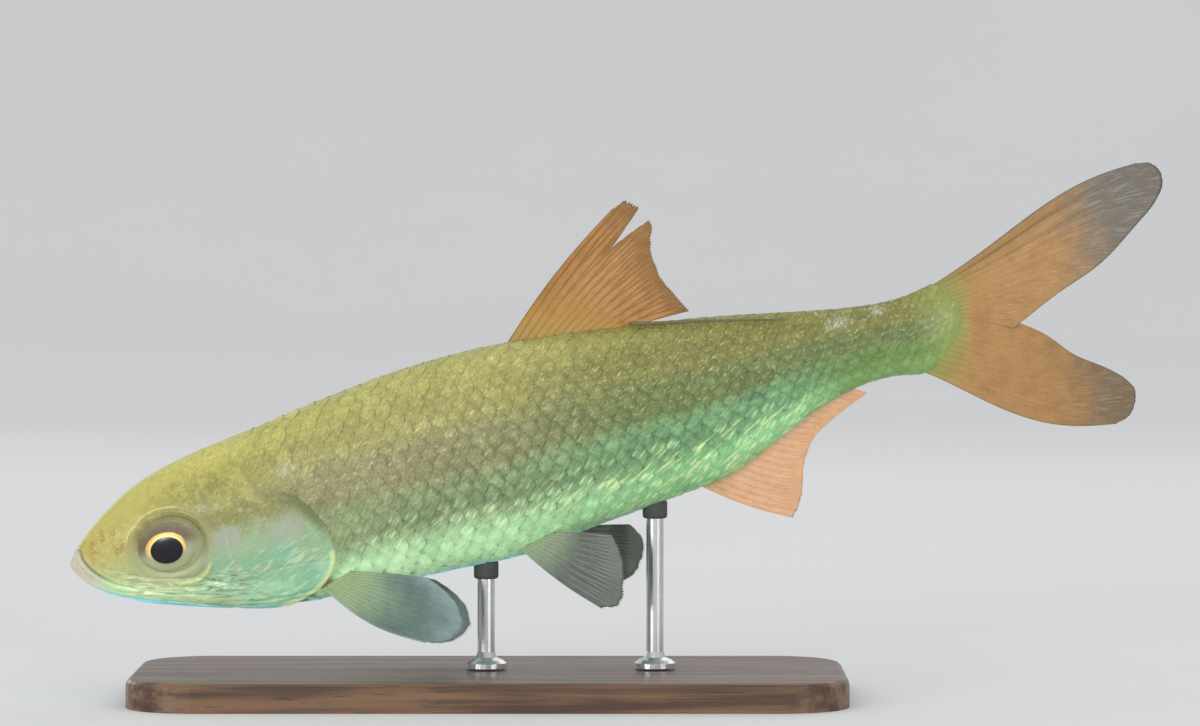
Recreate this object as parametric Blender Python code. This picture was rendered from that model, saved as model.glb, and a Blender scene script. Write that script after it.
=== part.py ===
"""A young Atlantic tarpon, about 200 mm long, swimming head down over a plain display stand.

The fish is modelled straight, in millimetres, in its own frame: x runs from the snout to the tail, z is up
and y is across, with the left flank at -y. Each finished piece is then bent sideways with the tail, and a
parent empty pitches the fish and lifts it over the stand. World +X points from head to tail and +Z up, and
the origin is the centre of the stand's underside, on the surface that it rests on.
"""

import math

import bmesh
import bpy
import numpy as np
from mathutils import Matrix, Vector

MM = 0.001
GAP = 0.32
LEFT = -1
RIGHT = 1

# The body: x, top, bottom and half width at each station, from the snout to the end of the tail stalk.
STATIONS = (
    (0.0, -0.6, -0.6, 0.0),
    (0.8, 1.0, -2.6, 1.5),
    (2.4, 2.5, -4.6, 2.6),
    (5.0, 4.8, -6.7, 3.7),
    (8.5, 7.2, -8.7, 4.7),
    (13.0, 9.7, -10.6, 5.7),
    (18.0, 11.5, -12.3, 6.7),
    (24.0, 12.9, -14.2, 7.9),
    (32.0, 14.1, -16.3, 9.3),
    (40.0, 15.3, -17.1, 10.2),
    (50.0, 16.8, -17.4, 10.7),
    (64.0, 18.2, -18.0, 10.9),
    (77.0, 18.5, -18.5, 10.7),
    (90.0, 17.6, -16.8, 10.1),
    (103.0, 15.9, -15.6, 9.1),
    (114.0, 14.4, -14.2, 7.8),
    (124.0, 12.6, -10.6, 6.5),
    (133.0, 10.8, -6.9, 5.2),
    (141.0, 9.3, -4.9, 4.1),
    (148.0, 8.5, -4.8, 3.3),
    (152.0, 8.5, -5.6, 2.8),
    (155.5, 9.0, -4.7, 2.3),
    (157.8, 9.3, -3.4, 1.9),
    (159.8, 7.8, -1.4, 1.5),
    (161.2, 5.6, 0.6, 1.1),
    (162.0, 3.0, 3.0, 0.0),
)
BODY_LENGTH = STATIONS[-1][0]
WIDEST_AT = 0.52
SQUARENESS = 2.2
BODY_RINGS = 56
BODY_SIDES = 30

# The cuts that part the body, as lines in side view.
MOUTH_LINE = (
    (-2.0, 4.2), (2.2, 2.0), (2.6, 0.0), (3.4, -1.7), (4.8, -3.4), (6.6, -5.0), (10.0, -7.0),
    (14.0, -8.8), (20.0, -10.6), (25.4, -12.0), (26.6, -13.6), (27.0, -20.0),
)
MOUTH_FRONT = 2
MOUTH_CORNER = 9
GILL_LINE = (
    (33.5, 22.0), (36.5, 12.0), (39.4, 2.0), (41.6, -4.0), (41.8, -9.0), (38.8, -15.0), (37.5, -22.0),
)
TAIL_CUT_X = 142.0
CUT_REACH = 20.0

# Raised forms of the head, each a band or a plate that lies in the skin.
PROUD = 0.3
STRIP_STATIONS = 14
LIP_HALF_WIDTH = 0.85
LIP_DEPTH = 0.6
MAXILLA_HALF_WIDTHS = (0.45, 0.75, 1.0, 1.2, 1.35, 0.8)
MAXILLA_FROM = 4
MAXILLA_OVER_MOUTH = 0.22
MAXILLA_DEPTH = 0.7
GILL_COVER = (
    (27.8, -1.2), (31.0, 2.1), (36.0, 3.0), (40.6, 1.2), (44.0, -3.0), (45.9, -7.2), (44.9, -11.2),
    (41.3, -14.4), (36.0, -15.2), (30.8, -13.9), (28.0, -10.6), (27.0, -6.0),
)
GILL_COVER_DEPTH = 1.1
GILL_COVER_POINTS = 36
CUTTER_REACH = 2.5

# The eye: its centre in side view, and its section from the cornea round to the back, as radius and depth.
EYE_AT = (18.3, -1.2)
EYE_SECTION = (
    (0.0, 0.85), (2.0, 0.76), (3.8, 0.42), (5.2, -0.1), (5.9, -0.7), (5.7, -1.4), (4.4, -2.6), (2.2, -3.3),
    (0.0, -3.5),
)
EYE_HEIGHT_RATIO = 0.84
EYE_SIDES = 28
LID_SECTION = ((6.1, -1.6), (6.15, 0.2), (6.45, 0.42), (6.8, 0.3), (7.3, -0.06), (7.45, -1.6))
LID_SIDES = 32
NOSTRILS_AT = ((6.9, 2.9), (9.0, 3.3))
NOSTRIL_RADIUS = 0.6

# The fins, each as its base and its outer edge in side view, a third value being the distance to the side.
DORSAL_BASE = (82.9, 103.0)
DORSAL_EDGE = ((109.1, 36.8), (111.4, 35.4), (112.7, 32.0), (111.9, 28.4), (111.8, 24.0), (115.4, 15.4))
DORSAL_SPLIT = {3: 0.27}
ANAL_BASE = (109.4, 139.4)
ANAL_EDGE = ((124.3, -24.3), (126.6, -20.6), (128.2, -15.6), (131.0, -11.5), (135.0, -9.2), (142.0, -6.3))
UPPER_LOBE_BASE = ((157.2, 9.72), (158.8, 9.4), (160.1, 8.3), (161.4, 6.4), (162.3, 4.0), (162.4, 2.6))
UPPER_LOBE_EDGE = (
    (200.6, 20.6, 2.0), (203.7, 17.5, 2.0), (201.5, 13.4, 2.0), (196.2, 9.7, 1.8), (188.6, 5.2, 1.3),
    (178.7, 1.7, 0.8), (169.8, -0.6, 0.1),
)
LOWER_LOBE_BASE = ((162.15, 1.95), (161.7, 0.5), (160.3, -1.6), (158.0, -3.8), (155.6, -5.3), (152.2, -6.1))
LOWER_LOBE_EDGE = (
    (170.0, -1.5, 0.1), (175.1, -4.0, 1.8), (180.7, -9.3, 5.5), (188.3, -14.2, 10.5), (192.2, -18.0, 13.6),
    (192.4, -21.4, 15.0), (188.2, -23.8, 13.8),
)
PECTORAL_BASE = ((42.4, -15.4), (44.2, -14.8), (46.2, -14.0), (47.8, -13.2))
PECTORAL_EDGE = (
    (57.4, -28.3, 12.8), (61.6, -28.8, 14.5), (64.5, -26.9, 15.4), (64.7, -23.8, 15.2), (63.0, -20.2, 14.0),
    (60.6, -17.4, 12.6),
)
PECTORAL_LOWERED = 2.2
PECTORAL_FOLDED_IN = 0.8
PELVIC_BASE = ((76.9, -17.2), (79.0, -16.8), (81.2, -16.2), (83.2, -15.5))
PELVIC_EDGE_LEFT = (
    (87.8, -30.3, 9.6), (90.8, -30.4, 10.6), (92.7, -26.6, 11.0), (93.4, -22.0, 10.4), (92.8, -18.4, 9.4),
)
PELVIC_EDGE_RIGHT = (
    (91.6, -28.0, 9.2), (94.6, -27.6, 10.0), (97.2, -24.8, 10.6), (98.0, -21.6, 10.4), (96.4, -18.6, 9.6),
)

# Half thicknesses of membrane and rays, at the root and at the outer edge.
MEMBRANE_HALF = 0.26
EDGE_HALF = 0.17
RAY_HALF = 0.42
RAY_EDGE_HALF = 0.23
LEADING_RAY = 1.3
SCALLOP = 0.025
ROOT_LIFT = 0.62

# The last dorsal ray, drawn out into a thread: how far it lies below the ridge of the back, and its radius.
FILAMENT_FROM = 104.4
FILAMENT_TO = 130.5
FILAMENT_POINTS = 16
FILAMENT_SIDES = 8
FILAMENT_DROP = (0.3, 1.7)
FILAMENT_RADIUS = (0.42, 0.26)

# The pose: pitch, a sideways swing of the tail that starts behind the head, and the place of the snout.
NOSE_DOWN = math.radians(14.5)
BEND_FROM = 70.0
BEND_TO = 200.0
BEND_ANGLE = math.radians(13.0)
BEND_GROWTH = 1.4
BEND_STEPS = 400
SNOUT_AT = Vector((-73.0, 0.0, 23.6))

# The display stand.
BASE_LENGTH = 124.0
BASE_WIDTH = 54.0
BASE_HEIGHT = 5.0
BASE_CORNER = 12.0
BASE_EDGE = 1.2
BASE_CORNER_STEPS = 8
ROD_RADIUS = 1.5
ROD_FOOT_RADIUS = 3.6
ROD_FOOT_HEIGHT = 1.4
ROD_SIDES = 24
FRONT_ROD_BODY_X = 70.0
REAR_ROD_BODY_X = 101.0

SKIN_GREEN = (0.30, 0.36, 0.20)
HEAD_OLIVE = (0.42, 0.41, 0.16)
SILVER_GREEN = (0.45, 0.60, 0.45)
LIP_PALE = (0.62, 0.60, 0.48)
FIN_GREY = (0.40, 0.36, 0.30)
EYE_BLACK = (0.02, 0.02, 0.02)
WALNUT = (0.12, 0.07, 0.04)
STEEL = (0.62, 0.62, 0.64)


def finish(name, colour, roughness, metallic=0.0):
    material = bpy.data.materials.new(name)
    material.use_nodes = True
    shader = material.node_tree.nodes["Principled BSDF"]
    shader.inputs["Base Color"].default_value = (*colour, 1.0)
    shader.inputs["Roughness"].default_value = roughness
    shader.inputs["Metallic"].default_value = metallic
    return material


# Curves


def smooth_through(keys, values, wanted):
    """A smooth curve through the given values, read at the wanted keys."""
    keys = np.asarray(keys, float)
    values = np.asarray(values, float)
    slopes = np.gradient(values, keys, axis=0)
    wanted = np.clip(wanted, keys[0], keys[-1])
    cell = np.clip(np.searchsorted(keys, wanted) - 1, 0, len(keys) - 2)
    span = keys[cell + 1] - keys[cell]
    t = (wanted - keys[cell]) / span
    if values.ndim > 1:
        span = np.expand_dims(span, -1)
        t = np.expand_dims(t, -1)
    from_start = (1 + 2 * t) * (1 - t) ** 2 * values[cell] + t * (1 - t) ** 2 * span * slopes[cell]
    from_end = t**2 * (3 - 2 * t) * values[cell + 1] + t**2 * (t - 1) * span * slopes[cell + 1]
    return from_start + from_end


def distances(points):
    return np.concatenate([[0.0], np.cumsum(np.linalg.norm(np.diff(points, axis=0), axis=1))])


def along(points, count):
    """That many points, evenly spread, on a smooth curve through the given ones."""
    points = np.asarray(points, float)
    keys = distances(points)
    return smooth_through(keys, points, np.linspace(0.0, keys[-1], count))


def round_loop(points, count):
    """That many points on a smooth closed curve through the given ones."""
    points = np.asarray(points, float)
    lap = np.concatenate([points[-2:], points, points[:3]])
    keys = distances(lap)
    return smooth_through(keys, lap, np.linspace(keys[2], keys[-3], count + 1)[:-1])


def unit(vectors):
    return vectors / np.linalg.norm(vectors, axis=-1, keepdims=True)


def left_of(line):
    """Unit normals of a line in side view, to the left of its direction."""
    tangents = unit(np.gradient(line, axis=0))
    return np.column_stack([-tangents[:, 1], tangents[:, 0]])


# The surface of the body


def body_key(x):
    """Length along the body, stretched at both ends so that the snout and the tail stalk come out round."""
    return np.arcsin(np.sqrt(np.clip(np.asarray(x, float) / BODY_LENGTH, 0.0, 1.0)))


STATION_KEYS = body_key([station[0] for station in STATIONS])
STATION_SIZES = np.array([station[1:] for station in STATIONS])


def section_at(x):
    """Top, bottom, half width and height of the widest line at x."""
    top, bottom, half = smooth_through(STATION_KEYS, STATION_SIZES, body_key(x))
    return top, bottom, max(half, 0.0), bottom + WIDEST_AT * (top - bottom)


def half_width(x, z):
    """How far the skin stands from the middle plane at a point of the side view."""
    top, bottom, half, middle = section_at(x)
    reach = top - middle if z > middle else middle - bottom
    ratio = min(abs(z - middle) / max(reach, 1e-6), 1.0)
    return half * (1.0 - ratio**SQUARENESS) ** (1.0 / SQUARENESS)


def skin_normal(x, z, side):
    step = 0.15
    slope_x = (half_width(x + step, z) - half_width(x - step, z)) / (2 * step)
    slope_z = (half_width(x, z + step) - half_width(x, z - step)) / (2 * step)
    return Vector((-slope_x, side, -slope_z)).normalized()


def on_skin(x, z, side, lift=0.0):
    """The point of the skin seen at x and z from one side, raised by lift along the skin's normal."""
    return Vector((x, side * half_width(x, z), z)) + skin_normal(x, z, side) * lift


def over_back(x):
    return section_at(x)[0] + GAP


def under_belly(x):
    return section_at(x)[1] - GAP


# Meshes


def link(name, mesh):
    made = bpy.data.objects.new(name, mesh)
    bpy.context.scene.collection.objects.link(made)
    return made


def object_from(name, points, faces):
    """A closed object with its faces pointing out."""
    mesh = bpy.data.meshes.new(name)
    mesh.from_pydata([tuple(point) for point in points], [], faces)
    shape = bmesh.new()
    shape.from_mesh(mesh)
    bmesh.ops.recalc_face_normals(shape, faces=shape.faces)
    if shape.calc_volume(signed=True) < 0:
        bmesh.ops.reverse_faces(shape, faces=shape.faces)
    shape.to_mesh(mesh)
    shape.free()
    return link(name, mesh)


def loft(name, rings, loop=False):
    """A skin over rings with as many points each. A ring of one point is a pole, and a loop has no ends."""
    sides = max(len(ring) for ring in rings)
    starts = np.cumsum([0] + [len(ring) for ring in rings])
    pairs = list(zip(range(len(rings) - 1), range(1, len(rings))))
    if loop:
        pairs.append((len(rings) - 1, 0))
    faces = []
    for here, there in pairs:
        a, b = int(starts[here]), int(starts[there])
        for k in range(sides):
            n = (k + 1) % sides
            if len(rings[here]) == 1:
                faces.append((a, b + k, b + n))
            elif len(rings[there]) == 1:
                faces.append((a + k, a + n, b))
            else:
                faces.append((a + k, a + n, b + n, b + k))
    for end in () if loop else (0, len(rings) - 1):
        if len(rings[end]) > 1:
            faces.append(tuple(int(starts[end]) + k for k in range(sides)))
    return object_from(name, [point for ring in rings for point in ring], faces)


def combine(target, others, operation):
    """One Boolean of the target with all the others, applied, and the others removed."""
    tools = bpy.data.collections.new("tools")
    bpy.context.scene.collection.children.link(tools)
    for other in others:
        bpy.context.scene.collection.objects.unlink(other)
        tools.objects.link(other)
    modifier = target.modifiers.new("combine", "BOOLEAN")
    modifier.operation = operation
    modifier.solver = "EXACT"
    modifier.operand_type = "COLLECTION"
    modifier.collection = tools
    bpy.context.view_layer.update()
    evaluated = target.evaluated_get(bpy.context.evaluated_depsgraph_get())
    target.data = bpy.data.meshes.new_from_object(evaluated)
    target.modifiers.clear()
    for other in others:
        bpy.data.objects.remove(other)
    bpy.data.collections.remove(tools)


def island_from(start, todo):
    """All vertices joined to a start vertex, taken out of the todo set."""
    island = [start]
    todo.discard(start)
    for vertex in island:
        for edge in vertex.link_edges:
            other = edge.other_vert(vertex)
            if other in todo:
                todo.discard(other)
                island.append(other)
    return island


def parted(source, names):
    """The largest closed pieces of a mesh, named in their order from the snout to the tail."""
    shape = bmesh.new()
    shape.from_mesh(source.data)
    shape.faces.index_update()
    todo = set(shape.verts)
    islands = []
    for vertex in shape.verts:
        if vertex in todo:
            islands.append(island_from(vertex, todo))
    islands = sorted(islands, key=len)[-len(names):]
    islands.sort(key=lambda island: max(v.co.x for v in island))
    made = {}
    for name, island in zip(names, islands):
        order = {v: n for n, v in enumerate(island)}
        faces = sorted({f for v in island for f in v.link_faces}, key=lambda face: face.index)
        corners = [tuple(order[v] for v in face.verts) for face in faces]
        made[name] = object_from(name, [v.co.copy() for v in island], corners)
    shape.free()
    bpy.data.objects.remove(source)
    return made


# Head and body


def whole_body():
    rings = []
    for key in np.linspace(0.0, math.pi / 2, BODY_RINGS + 1):
        x = BODY_LENGTH * math.sin(key) ** 2
        top, bottom, half, middle = section_at(x)
        if half < 0.05:
            rings.append([(x, 0.0, middle)])
            continue
        ring = []
        for k in range(BODY_SIDES):
            angle = 2 * math.pi * k / BODY_SIDES
            across = math.copysign(abs(math.cos(angle)) ** (2 / SQUARENESS), math.cos(angle))
            up = math.copysign(abs(math.sin(angle)) ** (2 / SQUARENESS), math.sin(angle))
            reach = top - middle if up > 0 else middle - bottom
            ring.append((x, half * across, middle + reach * up))
        rings.append(ring)
    return loft("body", rings)


def wall_cutter(name, line):
    """A thin wall that follows a line of the side view and runs right across the fish."""
    line = np.asarray(line, float)
    sideways = left_of(line) * GAP / 2
    outline = np.concatenate([line + sideways, (line - sideways)[::-1]])
    return loft(name, [[(x, y, z) for x, z in outline] for y in (-CUT_REACH, CUT_REACH)])


def plate(name, outline, side, depth, cutter=False):
    """A round plate that lies in the skin, or the cutter that makes room for it."""
    grow = GAP if cutter else 0.0
    loop = round_loop(outline, GILL_COVER_POINTS)
    centre = loop.mean(axis=0)
    tangents = unit(np.roll(loop, -1, axis=0) - np.roll(loop, 1, axis=0))
    outward = np.column_stack([-tangents[:, 1], tangents[:, 0]])
    loop = loop + outward * grow
    heights = ((0.5, PROUD), (0.9, PROUD), (1.0, 0.45 * PROUD))
    if cutter:
        heights = tuple((share, CUTTER_REACH) for share, height in heights)
    heights += ((1.0, -depth - grow), (0.5, -depth - grow))
    rings = [[on_skin(*centre, side, heights[0][1])]]
    for share, height in heights:
        rings.append([on_skin(*(centre + (point - centre) * share), side, height) for point in loop])
    rings.append([on_skin(*centre, side, -depth - grow)])
    return loft(name, rings)


def strip(name, line, half_widths, side, depth, cutter=False):
    """A long plate that lies in the skin along a line, or the cutter that makes room for it."""
    grow = GAP if cutter else 0.0
    line = along(line, STRIP_STATIONS)
    widths = np.interp(np.linspace(0, 1, STRIP_STATIONS), np.linspace(0, 1, len(half_widths)), half_widths)
    normals = left_of(line)
    line[0] += unit(line[0] - line[1]) * grow
    line[-1] += unit(line[-1] - line[-2]) * grow
    top, edge = (CUTTER_REACH, CUTTER_REACH) if cutter else (PROUD, 0.3 * PROUD)
    floor = -depth - grow
    section = ((-1.0, edge), (-0.55, top), (0.55, top), (1.0, edge), (1.0, floor), (-1.0, floor))
    rings = []
    for place, normal, width in zip(line, normals, widths + grow):
        rings.append([on_skin(*(place + normal * width * share), side, height) for share, height in section])
    return loft(name, rings)


def lip_band(side):
    """One raised band along the mouth. The cut of the mouth parts it into an upper and a lower lip."""
    line = MOUTH_LINE[MOUTH_FRONT:MOUTH_CORNER]
    return strip("lips", line, (0.6 * LIP_HALF_WIDTH, LIP_HALF_WIDTH, 0.5 * LIP_HALF_WIDTH), side, LIP_DEPTH)


def maxilla(name, side, cutter=False):
    """The upper jaw's side bone, which lies along the mouth and widens to a round end behind the eye."""
    line = along(MOUTH_LINE[MAXILLA_FROM:MOUTH_CORNER + 1], len(MAXILLA_HALF_WIDTHS))
    lift = np.array(MAXILLA_HALF_WIDTHS) + MAXILLA_OVER_MOUTH
    return strip(name, line + left_of(line) * lift[:, None], MAXILLA_HALF_WIDTHS, side, MAXILLA_DEPTH, cutter)


def skin_frame(place, side):
    """A matrix whose z axis is the skin's normal and whose x axis runs along the body."""
    normal = skin_normal(*place, side)
    tailward = (Vector((1, 0, 0)) - normal * normal.x).normalized()
    matrix = Matrix((tailward, normal.cross(tailward), normal)).transposed().to_4x4()
    matrix.translation = on_skin(*place, side)
    return matrix


def eyeball(name, side, cutter=False):
    """The eye, turned about the skin's normal, or the cutter for its socket."""
    frame = skin_frame(EYE_AT, side)
    section = np.array(EYE_SECTION)
    if cutter:
        outward = left_of(section)
        outward[0], outward[-1] = (0, 1), (0, -1)
        section = section + outward * GAP
    rings = []
    for radius, height in section:
        if radius < 1e-6:
            rings.append([frame @ Vector((0, 0, height))])
            continue
        angles = [2 * math.pi * k / EYE_SIDES for k in range(EYE_SIDES)]
        ring = [(radius * math.cos(a), EYE_HEIGHT_RATIO * radius * math.sin(a), height) for a in angles]
        rings.append([frame @ Vector(point) for point in ring])
    return loft(name, rings)


def lid_ring(side):
    """The soft clear lid that stands round the eye, as a ring sunk into the skin."""
    rings = []
    for k in range(LID_SIDES):
        angle = 2 * math.pi * k / LID_SIDES
        ring = []
        for radius, height in LID_SECTION:
            x = EYE_AT[0] + radius * math.cos(angle)
            z = EYE_AT[1] + radius * EYE_HEIGHT_RATIO * math.sin(angle)
            ring.append(on_skin(x, z, side, height))
        rings.append(ring)
    return loft("lid", rings, loop=True)


def nostril_pit(place, side):
    shape = bmesh.new()
    bmesh.ops.create_icosphere(shape, subdivisions=2, radius=NOSTRIL_RADIUS, matrix=skin_frame(place, side))
    mesh = bpy.data.meshes.new("nostril")
    shape.to_mesh(mesh)
    shape.free()
    return link("nostril", mesh)


def body_parts():
    """Lower jaw, head, trunk and tail stalk, with room for the plates and the eyes."""
    body = whole_body()
    raised = [lip_band(side) for side in (LEFT, RIGHT)]
    raised += [lid_ring(side) for side in (LEFT, RIGHT)]
    combine(body, raised, "UNION")
    tail_line = [(TAIL_CUT_X, z) for z in (-30.0, 0.0, 30.0)]
    walls = (("mouth", MOUTH_LINE), ("gills", GILL_LINE), ("tail", tail_line))
    cutters = [wall_cutter(name, line) for name, line in walls]
    for side in (LEFT, RIGHT):
        cutters.append(plate("gill_room", GILL_COVER, side, GILL_COVER_DEPTH, cutter=True))
        cutters.append(maxilla("maxilla_room", side, cutter=True))
        cutters.append(eyeball("socket", side, cutter=True))
        cutters += [nostril_pit(place, side) for place in NOSTRILS_AT]
    combine(body, cutters, "DIFFERENCE")
    return parted(body, ("lower_jaw", "head", "trunk", "tail_stalk"))


# Fins


def aside(points, side=1):
    """Side view points as points of the fish's frame. A third value of a point is its distance aside."""
    return [(p[0], side * p[2] if len(p) > 2 else 0.0, p[1]) for p in points]


def fin_surface(root, edge, columns, rows, bow, bow_late, curl, splits):
    """The middle surface of a fin, as rows from root to edge. Even columns are rays."""
    roots = along(root, columns)
    tips = along(edge, columns)
    drawn_in = np.where(np.arange(columns) % 2 == 0, 0.0, SCALLOP)
    for column, share in splits.items():
        drawn_in[column] = share
    tips = tips + (roots - tips) * drawn_in[:, None]
    spans = tips - roots
    sideways = unit(np.column_stack([-spans[:, 2], np.zeros(columns), spans[:, 0]]))
    bows = np.linspace(*bow, columns)
    surface = []
    for t in np.linspace(0.0, 1.0, rows + 1):
        row = roots + spans * t + sideways * (bows * math.sin(math.pi * t**bow_late))[:, None]
        row[:, 1] = roots[:, 1] + spans[:, 1] * t**curl
        surface.append(row)
    return np.array(surface)


def fin_halves(columns, rows, ray_half):
    """Half the thickness at each point of a fin: rays stand up as ridges, and all thins to the edge."""
    t = np.linspace(0.0, 1.0, rows + 1)[:, None]
    ray = ray_half + (RAY_EDGE_HALF - ray_half) * t**0.8
    sheath = 0.5 * (ray_half - MEMBRANE_HALF) * (1 - t) ** 4
    membrane = MEMBRANE_HALF + (EDGE_HALF - MEMBRANE_HALF) * t**4 + sheath
    halves = np.where(np.arange(columns)[None, :] % 2 == 0, ray, membrane)
    halves[:, 0] *= 1 + (LEADING_RAY - 1) * t[:, 0] ** 0.5
    return halves


def fin(name, root, edge, rays, rows, bow=(0.0, 0.0), bow_late=1.0, curl=1.0, splits=None, ray_half=RAY_HALF):
    """A fin of membrane and raised rays, as one closed sheet with both faces split alike."""
    columns = 2 * rays - 1
    surface = fin_surface(root, edge, columns, rows, bow, bow_late, curl, splits or {})
    normals = unit(np.cross(np.gradient(surface, axis=0), np.gradient(surface, axis=1)))
    halves = fin_halves(columns, rows, ray_half)[..., None]
    front = (surface + normals * halves).reshape(-1, 3)
    back = (surface - normals * halves).reshape(-1, 3)
    under = len(front)
    faces = []
    for i in range(rows):
        for j in range(columns - 1):
            a = i * columns + j
            b, c, d = a + 1, a + 1 + columns, a + columns
            for p, q, r in ((a, b, c), (a, c, d)) if j % 2 else ((a, b, d), (b, c, d)):
                faces += [(p, q, r), (r + under, q + under, p + under)]
    rim = list(range(columns))
    rim += [i * columns + columns - 1 for i in range(1, rows + 1)]
    rim += [rows * columns + j for j in range(columns - 2, -1, -1)]
    rim += [i * columns for i in range(rows - 1, 0, -1)]
    for here, there in zip(rim, rim[1:] + rim[:1]):
        faces += [(there, here, here + under), (there, here + under, there + under)]
    return object_from(name, np.concatenate([front, back]), faces)


def dorsal_fin():
    root = [(x, 0.0, over_back(x)) for x in np.linspace(*DORSAL_BASE, 8)]
    return fin("dorsal_fin", root, aside(DORSAL_EDGE), rays=13, rows=7, bow=(0.9, 0.0), splits=DORSAL_SPLIT)


def anal_fin():
    root = [(x, 0.0, under_belly(x)) for x in np.linspace(*ANAL_BASE, 8)]
    return fin("anal_fin", root, aside(ANAL_EDGE), rays=19, rows=5, bow=(-0.6, 0.0))


def tail_lobes():
    upper = fin("tail_fin_upper", aside(UPPER_LOBE_BASE), aside(UPPER_LOBE_EDGE), rays=11, rows=8,
                bow=(2.2, 0.2), bow_late=1.7, ray_half=0.5)
    lower = fin("tail_fin_lower", aside(LOWER_LOBE_BASE), aside(LOWER_LOBE_EDGE), rays=11, rows=8,
                bow=(-0.2, -3.4), bow_late=1.2, curl=1.5, ray_half=0.5)
    return upper, lower


def pectoral_fin(name, side):
    """A pectoral fin. The right one is held lower and closer to the body."""
    root = [on_skin(x, z, side, ROOT_LIFT) for x, z in PECTORAL_BASE]
    edge = PECTORAL_EDGE
    if side == RIGHT:
        edge = [(x, z - PECTORAL_LOWERED, PECTORAL_FOLDED_IN * y) for x, z, y in edge]
    return fin(name, root, aside(edge, side), rays=12, rows=6, bow=(-1.5, 0.2))


def pelvic_fin(name, side, edge):
    root = [on_skin(x, z, side, ROOT_LIFT) for x, z in PELVIC_BASE]
    return fin(name, root, aside(edge, side), rays=10, rows=6, bow=(-0.5, 0.2))


def dorsal_filament():
    """The last dorsal ray, drawn out into a thread that lies along the left of the back."""
    points = []
    for share in np.linspace(0.0, 1.0, FILAMENT_POINTS):
        x = FILAMENT_FROM + (FILAMENT_TO - FILAMENT_FROM) * share
        drop = FILAMENT_DROP[0] + (FILAMENT_DROP[1] - FILAMENT_DROP[0]) * share**0.6
        points.append(on_skin(x, section_at(x)[0] - drop, LEFT, 0.85 - 0.15 * share))
    rings = []
    for i, point in enumerate(points):
        ahead = (points[min(i + 1, len(points) - 1)] - points[max(i - 1, 0)]).normalized()
        across = ahead.cross(Vector((0, 0, 1))).normalized()
        upward = across.cross(ahead)
        radius = np.interp(i, (0, len(points) - 1), FILAMENT_RADIUS)
        angles = [2 * math.pi * k / FILAMENT_SIDES for k in range(FILAMENT_SIDES)]
        rings.append([point + (across * math.cos(a) + upward * math.sin(a)) * radius for a in angles])
    return loft("dorsal_filament", rings)


# Pose


def bend_table():
    """Angle, forward and sideways place along the swung middle line, at even steps of the straight fish."""
    reach = np.linspace(-10.0, BEND_TO + 20.0, BEND_STEPS)
    share = np.clip((reach - BEND_FROM) / (BEND_TO - BEND_FROM), 0.0, 1.3)
    yaw = BEND_ANGLE * share**BEND_GROWTH
    step = reach[1] - reach[0]
    between = (yaw[1:] + yaw[:-1]) / 2
    forward = reach[0] + np.concatenate([[0.0], np.cumsum(np.cos(between) * step)])
    sideways = np.concatenate([[0.0], np.cumsum(np.sin(between) * step)])
    return reach, yaw, forward, sideways


BEND = bend_table()


def bent(point):
    """A point of the straight fish after the sideways swing of the tail."""
    x, y, z = point
    yaw, forward, sideways = (np.interp(x, BEND[0], column) for column in BEND[1:])
    return Vector((forward - y * math.sin(yaw), sideways + y * math.cos(yaw), z))


def swimming(point):
    """A point of the straight fish where it is over the stand, in millimetres."""
    return Matrix.Rotation(-NOSE_DOWN, 3, "Y") @ bent(point) + SNOUT_AT


# Stand


def circle(x, y, z, radius):
    angles = [2 * math.pi * k / ROD_SIDES for k in range(ROD_SIDES)]
    return [(x + radius * math.cos(a), y + radius * math.sin(a), z) for a in angles]


def stand_rod(name, body_x):
    """A turned rod with a round foot. Its top is cut along the belly above it."""
    touch = swimming((body_x, 0.0, under_belly(body_x)))
    behind = swimming((body_x + 1.0, 0.0, under_belly(body_x + 1.0)))
    slope = (behind.z - touch.z) / (behind.x - touch.x)
    floor = BASE_HEIGHT + GAP
    section = (
        (ROD_FOOT_RADIUS, floor),
        (ROD_FOOT_RADIUS, floor + 0.6 * ROD_FOOT_HEIGHT),
        (0.8 * ROD_FOOT_RADIUS, floor + ROD_FOOT_HEIGHT),
        (1.25 * ROD_RADIUS, floor + 1.3 * ROD_FOOT_HEIGHT),
        (ROD_RADIUS, floor + 2.0 * ROD_FOOT_HEIGHT),
    )
    rings = [circle(touch.x, touch.y, height, radius) for radius, height in section]
    rings.append([(x, y, touch.z + (x - touch.x) * slope) for x, y, z in rings[-1]])
    return loft(name, rings)


def stand_base():
    """A flat board with round corners and an eased upper edge."""
    shape = bmesh.new()
    corners = []
    for quarter, (side_x, side_y) in enumerate(((1, 1), (-1, 1), (-1, -1), (1, -1))):
        for step in range(BASE_CORNER_STEPS + 1):
            angle = math.pi / 2 * (quarter + step / BASE_CORNER_STEPS)
            x = side_x * (BASE_LENGTH / 2 - BASE_CORNER) + BASE_CORNER * math.cos(angle)
            y = side_y * (BASE_WIDTH / 2 - BASE_CORNER) + BASE_CORNER * math.sin(angle)
            corners.append(shape.verts.new((x, y, 0.0)))
    underside = shape.faces.new(reversed(corners))
    raised = bmesh.ops.extrude_face_region(shape, geom=[underside], use_keep_orig=True)["geom"]
    top = [item for item in raised if isinstance(item, bmesh.types.BMVert)]
    bmesh.ops.translate(shape, verts=top, vec=(0, 0, BASE_HEIGHT))
    upper_edges = [edge for edge in shape.edges if all(v in top for v in edge.verts)]
    bmesh.ops.bevel(shape, geom=upper_edges, offset=BASE_EDGE, segments=3, profile=0.5, affect="EDGES")
    bmesh.ops.recalc_face_normals(shape, faces=shape.faces)
    mesh = bpy.data.meshes.new("stand_base")
    shape.to_mesh(mesh)
    shape.free()
    return link("stand_base", mesh)


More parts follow.
